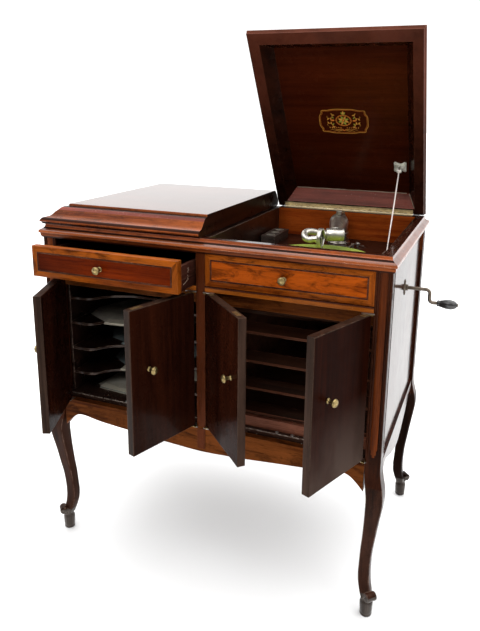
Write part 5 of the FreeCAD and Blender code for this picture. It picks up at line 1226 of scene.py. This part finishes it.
# ------------------------------------------------------------------ stay: lobed plate, ears, pin, rod and guide
SX_, PY_, PZ_, ZR_ = 855.0, 436.0, 956.0, 977.4
bm = bmesh.new()
out = []
for cxs, cys, a0 in ((1, 1, -20), (-1, 1, 70), (-1, -1, 160), (1, -1, 250)):
    for k in range(9):
        a = math.radians(a0 + 130 * k / 8)
        out.append((SX_ + cxs * 11.3 + 3.9 * math.cos(a), PY_ + cys * 9.3 + 3.9 * math.sin(a)))
    # hollow run to the next lobe
    if a0 in (-20, 160):
        s = 1 if a0 == -20 else -1
        for k in range(1, 8):
            t = k / 8.0
            out.append((SX_ + s * (9.6 - 19.2 * t), PY_ + s * (13.0 - 4.4 * math.sin(math.pi * t))))
    else:
        s = -1 if a0 == 70 else 1
        for k in range(1, 6):
            t = k / 6.0
            out.append((SX_ + s * (15.0 - 3.0 * math.sin(math.pi * t)), PY_ - s * -1 * (7.2 - 14.4 * t)))
ZL = [(975.7, 0.97), (975.5, 1.0), (977.3, 1.0)]
rings_ = [[bm.verts.new(W(SX_ + (x - SX_) * k * 1.2, PY_ + (y - PY_) * k * 1.3, z)) for x, y in out] for z, k in ((975.42, 0.95), (975.7, 1.0), (977.35, 1.0))]
for a, b in zip(rings_, rings_[1:]):
    for i in range(len(a)):
        j = (i + 1) % len(a)
        bm.faces.new((a[i], a[j], b[j], b[i]))
bm.faces.new(rings_[0])
bm.faces.new(rings_[-1])
for s in (-1, 1):
    for t in (-1, 1):
        screw_head(bm, W(SX_ + s * 11.3 * 1.2, PY_ + t * 9.3 * 1.3, 975.5), (0, 0, -1), 2.2, 1.0)
    x0, x1 = sorted((SX_ + s * 2.85, SX_ + s * 5.95))
    yz = [(PY_ - 5.9, 975.5), (PY_ + 5.9, 975.5)] + [(PY_ + 5.9 * math.cos(math.radians(a)), PZ_ - 0.2 + 4.7 * math.sin(math.radians(a)))
                                                   for a in range(0, -181, -15)]
    a = [bm.verts.new(W(x0, y, z)) for y, z in yz]
    b = [bm.verts.new(W(x1, y, z)) for y, z in yz]
    for i in range(len(yz)):
        j = (i + 1) % len(yz)
        bm.faces.new((a[i], a[j], b[j], b[i]))
    bm.faces.new(a)
    bm.faces.new(b)
lathe(bm, [(0, 0), (1.4, 0.1), (1.95, 0.7), (1.95, 15.3), (1.4, 15.9), (0, 16)], W(SX_ - 8, PY_, PZ_), (1, 0, 0), seg=24)
for s in (-1, 1):
    lathe(bm, [(2.0, 0), (3.2, 0.1), (3.4, 0.7), (3.0, 1.4), (2.0, 1.7)], W(SX_ + s * 6, PY_, PZ_), (s, 0, 0), seg=24, caps=False)
moved(bm, LM)
piece("stay_lug", bm, [m_lug, m_slot], "lid_right", smooth=36, replaces=("lid_stay_bracket",))
PW = LM @ W(SX_, PY_, PZ_)
GW = W(SX_, 402, 868)
rd_ = (GW - PW).normalized()
bm = bmesh.new()
lathe(bm, [(2.06, 0), (4.6, 0), (5.4, 0.7), (5.4, 3.9), (4.6, 4.6), (2.06, 4.6), (2.06, 0)], PW - Vector((0.0023, 0, 0)), (1, 0, 0), seg=40,
      caps=False)
tube(bm, [PW + rd_ * (k / 1000.0) for k in (3.6, 8, 12, 60, 120, 180, 236, 256, 259.4)],
     [2.0, 1.95, 1.88, 1.88, 1.88, 1.88, 1.88, 1.8, 1.1], seg=20)
piece("stay_wire", bm, m_rod, "stay_rod", smooth=36, replaces=("lid_stay_rod",))
bm = bmesh.new()
for sgn in (-1, 1):
    block(bm, (SX_ + (5.1 if sgn > 0 else -11.9), 350.2, 850.05), (SX_ + (11.9 if sgn > 0 else -5.1), 429.8, 851.9))
block(bm, (SX_ - 5.3, 350.2, 850.05), (SX_ + 5.3, 364.9, 851.88))
block(bm, (SX_ - 5.3, 415.1, 850.05), (SX_ + 5.3, 429.8, 851.88))
for y in (356, 424):
    screw_head(bm, W(SX_, y, 851.9), (0, 0, 1), 2.9, 1.2)
piece("stay_slide_plate", bm, [m_nickel, m_slot], "case", smooth=36, replaces=("lid_stay_guide",))

# ------------------------------------------------------------------ gilt ornament laid into the lid's panel (closed frame z 977.4)
m_gilt = paper("gilt_line", (0.26, 0.105, 0.014), (0.56, 0.25, 0.035))
m_gilt2 = paper("gilt_orange", (0.30, 0.075, 0.008), (0.56, 0.16, 0.015))
m_leafg = paper("leaf_green", (0.10, 0.13, 0.012), (0.26, 0.28, 0.03))
OXC, OYC, ORZ = 699.0, 286.5, 977.34


def gl(u, v):
    """Ornament point: u across the lid, v up the opened lid (towards its front edge), mm."""
    return LM @ W(OXC + u, OYC - v, ORZ)


GN = (LM.to_3x3() @ Vector((0, 0, -1))).normalized()


def ribbon(bm, pts, wid, mat=0, closed=False):
    """A flat raised line through (u, v) points; the width in mm may vary along it."""
    n = len(pts)
    L_, R_ = [], []
    for i in range(n):
        a = pts[(i - 1) % n] if closed else pts[max(i - 1, 0)]
        b = pts[(i + 1) % n] if closed else pts[min(i + 1, n - 1)]
        dx_, dy_ = b[0] - a[0], b[1] - a[1]
        l = math.hypot(dx_, dy_) or 1.0
        w_ = (wid[i] if isinstance(wid, list) else wid) / 2.0
        nxx, nyy = -dy_ / l * w_, dx_ / l * w_
        L_.append((pts[i][0] + nxx, pts[i][1] + nyy))
        R_.append((pts[i][0] - nxx, pts[i][1] - nyy))
    top = GN * 0.00028
    vl = [bm.verts.new(gl(*p) + top) for p in L_]
    vr = [bm.verts.new(gl(*p) + top) for p in R_]
    wl = [bm.verts.new(gl(*p)) for p in L_]
    wr = [bm.verts.new(gl(*p)) for p in R_]
    for i in range(n if closed else n - 1):
        j = (i + 1) % n
        for q in ((vl[i], vl[j], vr[j], vr[i]), (wl[i], wl[j], vl[j], vl[i]), (vr[i], vr[j], wr[j], wr[i]), (wr[i], wr[j], wl[j], wl[i])):
            f = bm.faces.new(q)
            f.material_index = mat
    if not closed:
        for i in (0, n - 1):
            f = bm.faces.new((vl[i], vr[i], wr[i], wl[i]))
            f.material_index = mat


def petal(bm, u, v, ang, ln, wd, mat=0):
    pts = [(u + ln * t * math.cos(ang), v + ln * t * math.sin(ang)) for t in [k / 10.0 for k in range(11)]]
    ribbon(bm, pts, [max(0.15, wd * math.sin(math.pi * min(1.0, (k / 10.0) ** 0.8))) for k in range(11)], mat)


bm = bmesh.new()
# frame of two looped lines with a shaped outline
fr = []
for k in range(120):
    a = 2 * math.pi * k / 120
    ca, sa = math.cos(a), math.sin(a)
    e = 5.0
    u = 70 * abs(ca) ** (2 / e) * (1 if ca > 0 else -1)
    v = 39 * abs(sa) ** (2 / e) * (1 if sa > 0 else -1)
    k_ = 1 + 0.035 * math.cos(8 * a)
    fr.append((u * k_, v * k_))
fr = [(u * 0.97, v * 0.98) for u, v in fr]
ribbon(bm, fr, 1.2, 0, True)
ribbon(bm, [(u * 0.955, v * 0.93) for u, v in fr], 0.7, 1, True)
# middle medallion: ring, eight petals and seed dots
ribbon(bm, [(22 * math.cos(2 * math.pi * k / 48), 3 + 17 * math.sin(2 * math.pi * k / 48)) for k in range(48)], 1.6, 1, True)
for k in range(8):
    a = math.pi / 8 + math.pi * k / 4
    petal(bm, 4 * math.cos(a), 3 + 3 * math.sin(a), a, 12.5, 6.0, 0 if k % 2 else 2)
for k in range(16):
    a = 2 * math.pi * k / 16
    petal(bm, 18.6 * math.cos(a), 3 + 14 * math.sin(a), a, 2.0, 2.0, 0)
petal(bm, -3, 3, 0, 6, 6, 1)
# scrolling stems with leaves on both sides
for s in (-1, 1):
    for w_ in (1, -1):
        st = []
        for k in range(40):
            t = k / 39.0
            a = t * 4.6
            r = 13.0 * (1 - t) + 1.5
            st.append((s * (44 + r * math.cos(a + 2.2)), w_ * (15 + 0.85 * r * math.sin(a + 2.2)) + 1))
        ribbon(bm, st, [1.7 - 1.2 * k / 39.0 for k in range(40)], 0)
        for k in (4, 9, 14, 20):
            u, v = st[k]
            a = math.atan2(st[k + 1][1] - v, st[k + 1][0] - u) - s * w_ * 1.1
            petal(bm, u, v, a, 7.5, 3.4, 2 if k % 2 else 0)
    petal(bm, s * 26, 3, 0 if s > 0 else math.pi, 12, 5.0, 1)
    for v_, l_ in ((-27, 34), (-31.5, 26)):
        ribbon(bm, [(s * (6 + l_ * k / 10.0), v_ + 1.3 * math.sin(k * 1.25)) for k in range(11)], [1.8 - 0.12 * k for k in range(11)], 0)
    for k in range(6):
        petal(bm, s * (8 + 6.4 * k), -22.6, math.radians(90 - s * 35), 4.6, 2.4, 0 if k % 2 else 1)
ribbon(bm, [(-5 + k, -29 + 2.2 * math.cos(k * 0.628)) for k in range(11)], 2.2, 1)
petal(bm, 0, 22, math.pi / 2, 11, 5.5, 0)
for s in (-1, 1):
    petal(bm, 0, 22, math.pi / 2 + s * 0.7, 10, 4.2, 2)
piece("lid_ornament", bm, [m_gilt, m_gilt2, m_leafg], "lid_right", smooth=50)

# ------------------------------------------------------------------ record sleeves: piles of thin card with worn edges
random.seed(23)
m_paper3 = paper("sleeve_paper_tan", (0.22, 0.20, 0.16), (0.50, 0.47, 0.40))
bm = bmesh.new()
for (x0, x1, y0, y1, z, th_, a_), ns_, mi in zip(((122, 372, 66, 316, 653, 5, 7), (170, 420, 90, 340, 578, 4, -6),
                                                 (150, 400, 98, 348, 504, 3, 5), (110, 360, 60, 310, 446, 6, -4)), (4, 3, 3, 5), (0, 1, 0, 0)):
    cx_, cy_ = (x0 + x1) / 2.0, (y0 + y1) / 2.0
    for k in range(ns_):
        hz = th_ / float(ns_)
        zb = z + 0.12 + k * hz
        sh = random.uniform(0, 4.5)
        an = math.radians(a_ + random.uniform(-0.7, 0.7))
        hw = (x1 - x0) / 2.0 - 3.4 - (1.5 if k else 0)
        ed = []
        for side in range(4):
            for q in range(14):
                t = -1 + 2 * q / 14.0
                wob = 0.35 * math.sin(7 * t + side * 2 + k) + 0.3 * random.random()
                if abs(t) > 0.93:
                    wob += 1.6
                p = [(t * hw, -hw + wob), (hw - wob, t * hw), (-t * hw, hw - wob), (-hw + wob, -t * hw)][side]
                ed.append(p)
        mi_ = mi if k % 2 == 0 else 1 - mi if random.random() < 0.3 else mi
        lo_ = [bm.verts.new(W(cx_ + p[0] * math.cos(an) - p[1] * math.sin(an), cy_ - sh * 0.3 + p[0] * math.sin(an) + p[1] * math.cos(an),
                              zb + 0.03)) for p in ed]
        hi_ = [bm.verts.new(W(cx_ + p[0] * math.cos(an) - p[1] * math.sin(an), cy_ - sh * 0.3 + p[0] * math.sin(an) + p[1] * math.cos(an),
                              zb + hz - 0.05 + 0.03 * math.sin(i))) for i, p in enumerate(ed)]
        for i in range(len(ed)):
            j = (i + 1) % len(ed)
            f = bm.faces.new((lo_[i], lo_[j], hi_[j], hi_[i]))
            f.material_index = mi_
        for r in (lo_, hi_):
            f = bm.faces.new(r)
            f.material_index = mi_


def sheet(bm, pts, z, top, mi, th=0.7):
    """A limp sheet laid over a pile: raised in the middle, its rim lying on the shelf."""
    n = len(pts)
    fine = []
    for i in range(n):
        a, b = pts[i], pts[(i + 1) % n]
        for q in range(8):
            t = q / 8.0
            fine.append((a[0] + (b[0] - a[0]) * t + random.uniform(-0.5, 0.5), a[1] + (b[1] - a[1]) * t + random.uniform(-0.5, 0.5)))
    cx_ = sum(p[0] for p in fine) / len(fine)
    cy_ = sum(p[1] for p in fine) / len(fine)
    lays = []
    for k, hh in ((1.0, 1.0), (0.93, 1.6 + 0.3 * (top - z)), (0.80, top - z + 0.6), (0.4, top - z + 0.6)):
        lo_ = [bm.verts.new(W(cx_ + (p[0] - cx_) * k, cy_ + (p[1] - cy_) * k, z + hh + 0.35 * math.sin(0.9 * i))) for i, p in enumerate(fine)]
        hi_ = [bm.verts.new(v.co + Vector((0, 0, th / 1000.0))) for v in lo_]
        lays.append((lo_, hi_))
    m_ = len(fine)
    for (a, b), (c, d) in zip(lays, lays[1:]):
        for i in range(m_):
            j = (i + 1) % m_
            for q in ((a[i], c[i], c[j], a[j]), (b[i], b[j], d[j], d[i])):
                f = bm.faces.new(q)
                f.material_index = mi
    for i in range(m_):
        j = (i + 1) % m_
        f = bm.faces.new((lays[0][0][i], lays[0][0][j], lays[0][1][j], lays[0][1][i]))
        f.material_index = mi
    for q in (lays[-1][0], lays[-1][1]):
        f = bm.faces.new(q)
        f.material_index = mi


sheet(bm, [(46, 170), (58, 113), (134, 72), (186, 84), (330, 104), (350, 290), (90, 300)], 653, 658.4, 2)
sheet(bm, [(72, 204), (112, 140), (190, 118), (380, 140), (380, 320), (90, 300)], 578, 582.4, 1)
sheet(bm, [(84, 221), (100, 168), (170, 122), (380, 130), (380, 330), (95, 320)], 504, 507.4, 1)
sheet(bm, [(88, 92), (160, 72), (350, 86), (350, 296), (102, 290), (94, 140)], 446, 452.4, 2)
piece("card_sleeves", bm, [m_paper, m_paper2, m_paper3], "case", smooth=30, replaces=("record_sleeves",))

# ------------------------------------------------------------------ light lines on the lid wall (worn along its top edge, a painted highlight down its right end) and small marks
m_worn_and_highlight = paper("worn_and_highlight_line", (0.20, 0.13, 0.09), (0.46, 0.34, 0.26))
bm = bmesh.new()
# worn light line along the top edge of the wall
tube(bm, [LM @ W(x, 533.2 + 0.25 * math.sin(x * 0.11), 976.6) for x in range(528, 880, 8)], [1.25 + 0.45 * random.random() for _ in range(528, 880, 8)],
     seg=8)
# painted highlight: a light line down the right end of the wall
tube(bm, [LM @ W(879.4 + 21 * t, 533.4 + 24.6 * t, 976.6 - 38.5 * t) for t in (0.02, 0.2, 0.4, 0.6, 0.8, 0.97)], [1.5, 1.4, 1.3, 1.3, 1.6, 2.2],
     seg=8)
piece("lid_wall_worn_and_highlight_line", bm, m_worn_and_highlight, "lid_right", smooth=50)
bm = bmesh.new()
# scratches on the drawer's side
for pts in ([(-34, 866), (-31, 869), (-30, 864), (-34, 859), (-31, 857)], [(-36, 852), (-33, 849), (-35, 845), (-38, 842)],
            [(-58, 833), (-50, 835), (-42, 837.5), (-30, 841)]):
    tube(bm, [W(452.05, y, z) for y, z in pts], 0.45, seg=6)
piece("drawer_side_scratches", bm, m_worn_and_highlight, "drawer", smooth=50)


# ------------------------------------------------------------------ plain sill below the lowest slat
bm = bmesh.new()
block(bm, (486, 32.2, 446.6), (893, 58.0, 473.4))
block(bm, (486, 31.4, 470.6), (893, 45.0, 474.6))
piece("louvre_sill", bm, m_slat2, "case", smooth=30)

# ------------------------------------------------------------------ packing strips beside the ends of the long hinges
bm = bmesh.new()
for x0, x1 in ((20.4, 41.4), (446.7, 457.6), (480.4, 491.3), (896.7, 915.6)):
    block(bm, (x0, 562.6, 934.45), (x1, 577.7, 935.95))
    block(bm, (x0, 577.9, 933.05), (x1, 590.6, 936.1))
piece("hinge_packing_case", bm, m_dark_and_shade_wood, "case", smooth=30)
bm = bmesh.new()
for x0, x1 in ((896.8, 903.4),):
    block(bm, (x0, 562.6, 936.5), (x1, 577.3, 937.8))
    block(bm, (x0, 577.6, 936.7), (x1, 580.2, 939.2))
moved(bm, LM)
piece("hinge_packing_lid", bm, m_dark_and_shade_wood, "lid_right", smooth=30)

# ------------------------------------------------------------------ floor, light, camera
fm = Mat("studio_floor")
fn_ = fm.noise(fm.mapping(scale=(1.2, 1.2, 1.2)), 1.0, 3.0, 0.5)
floor_mat = fm.finish(fm.ramp(fn_, [(0.3, (0.925, 0.925, 0.925)), (0.7, (0.95, 0.95, 0.95))]), 0.75, None, Specular_IOR_Level=0.15)
bm = bmesh.new()
bmesh.ops.create_grid(bm, x_segments=8, y_segments=8, size=30.0)
me = bpy.data.meshes.new("floor")
bm.to_mesh(me)
bm.free()
me.materials.append(floor_mat)
floor = bpy.data.objects.new("floor", me)
COL.objects.link(floor)

world = bpy.data.worlds.new("studio")
bpy.context.scene.world = world
world.use_nodes = True
wt = world.node_tree
wt.nodes.clear()
wo = wt.nodes.new("ShaderNodeOutputWorld")
bg = wt.nodes.new("ShaderNodeBackground")
tc = wt.nodes.new("ShaderNodeTexCoord")
sep = wt.nodes.new("ShaderNodeSeparateXYZ")
wt.links.new(tc.outputs["Generated"], sep.inputs[0])
mr = wt.nodes.new("ShaderNodeMapRange")
mr.interpolation_type = "SMOOTHSTEP"
for k, v in (("From Min", -0.55), ("From Max", 0.05), ("To Min", 0.10), ("To Max", 1.22)):
    mr.inputs[k].default_value = v
wt.links.new(sep.outputs["Y"], mr.inputs["Value"])
mz = wt.nodes.new("ShaderNodeMapRange")
mz.interpolation_type = "SMOOTHSTEP"
for k, v in (("From Min", 0.40), ("From Max", 0.85), ("To Min", 0.0), ("To Max", 1.85)):
    mz.inputs[k].default_value = v
wt.links.new(sep.outputs["Z"], mz.inputs["Value"])
ad = wt.nodes.new("ShaderNodeMath")
ad.operation = "ADD"
wt.links.new(mr.outputs[0], ad.inputs[0])
wt.links.new(mz.outputs[0], ad.inputs[1])
bg.inputs["Color"].default_value = (1, 1, 1, 1)
wt.links.new(ad.outputs[0], bg.inputs["Strength"])
wt.links.new(bg.outputs[0], wo.inputs[0])


def area(name, loc, target, size, power, color=(1, 1, 1)):
    li = bpy.data.lights.new(name, "AREA")
    li.shape = "RECTANGLE"
    li.size, li.size_y = size
    li.energy = power
    li.color = color
    o = bpy.data.objects.new(name, li)
    o.location = loc
    d = (Vector(target) - Vector(loc)).normalized()
    o.rotation_euler = d.to_track_quat("-Z", "Y").to_euler()
    COL.objects.link(o)
    return o


area("key", (-0.6, -2.6, 2.9), (0, 0, 0.7), (1.6, 1.2), 26)
area("fill", (2.6, -1.6, 2.4), (0.2, 0, 0.7), (1.6, 1.6), 14)
area("back", (-1.2, 2.4, 2.6), (0, 0.2, 0.9), (2.4, 1.6), 14)

cam = bpy.data.cameras.new("camera")
cam.sensor_fit = "VERTICAL"
cam.sensor_height = 36.0
cam.sensor_width = 36.0
cam.lens = 636.38 / 631 * 36
cam.shift_x = (240.0 - 249.197) / 631
cam.shift_y = (260.932 - 315.5) / 631
cam.clip_start = 0.05
cam.clip_end = 100
co = bpy.data.objects.new("camera", cam)
COL.objects.link(co)
yaw, pitch, roll = 0.376, 0.242, -0.012
cyw, syw, cp, sp = math.cos(yaw), math.sin(yaw), math.cos(pitch), math.sin(pitch)
fwd = Vector((-syw * cp, cyw * cp, -sp))
right = Vector((cyw, syw, 0))
down = fwd.cross(right)
r2 = math.cos(roll) * right + math.sin(roll) * down
d2 = -math.sin(roll) * right + math.cos(roll) * down
rot = Matrix((r2, -d2, -fwd)).transposed()
co.matrix_world = Matrix.Translation(W(1134.9, -1360.7, 1254.5)) @ rot.to_4x4()
bpy.context.scene.camera = co
bpy.context.scene.view_settings.view_transform = "Standard"

bpy.context.view_layer.update()
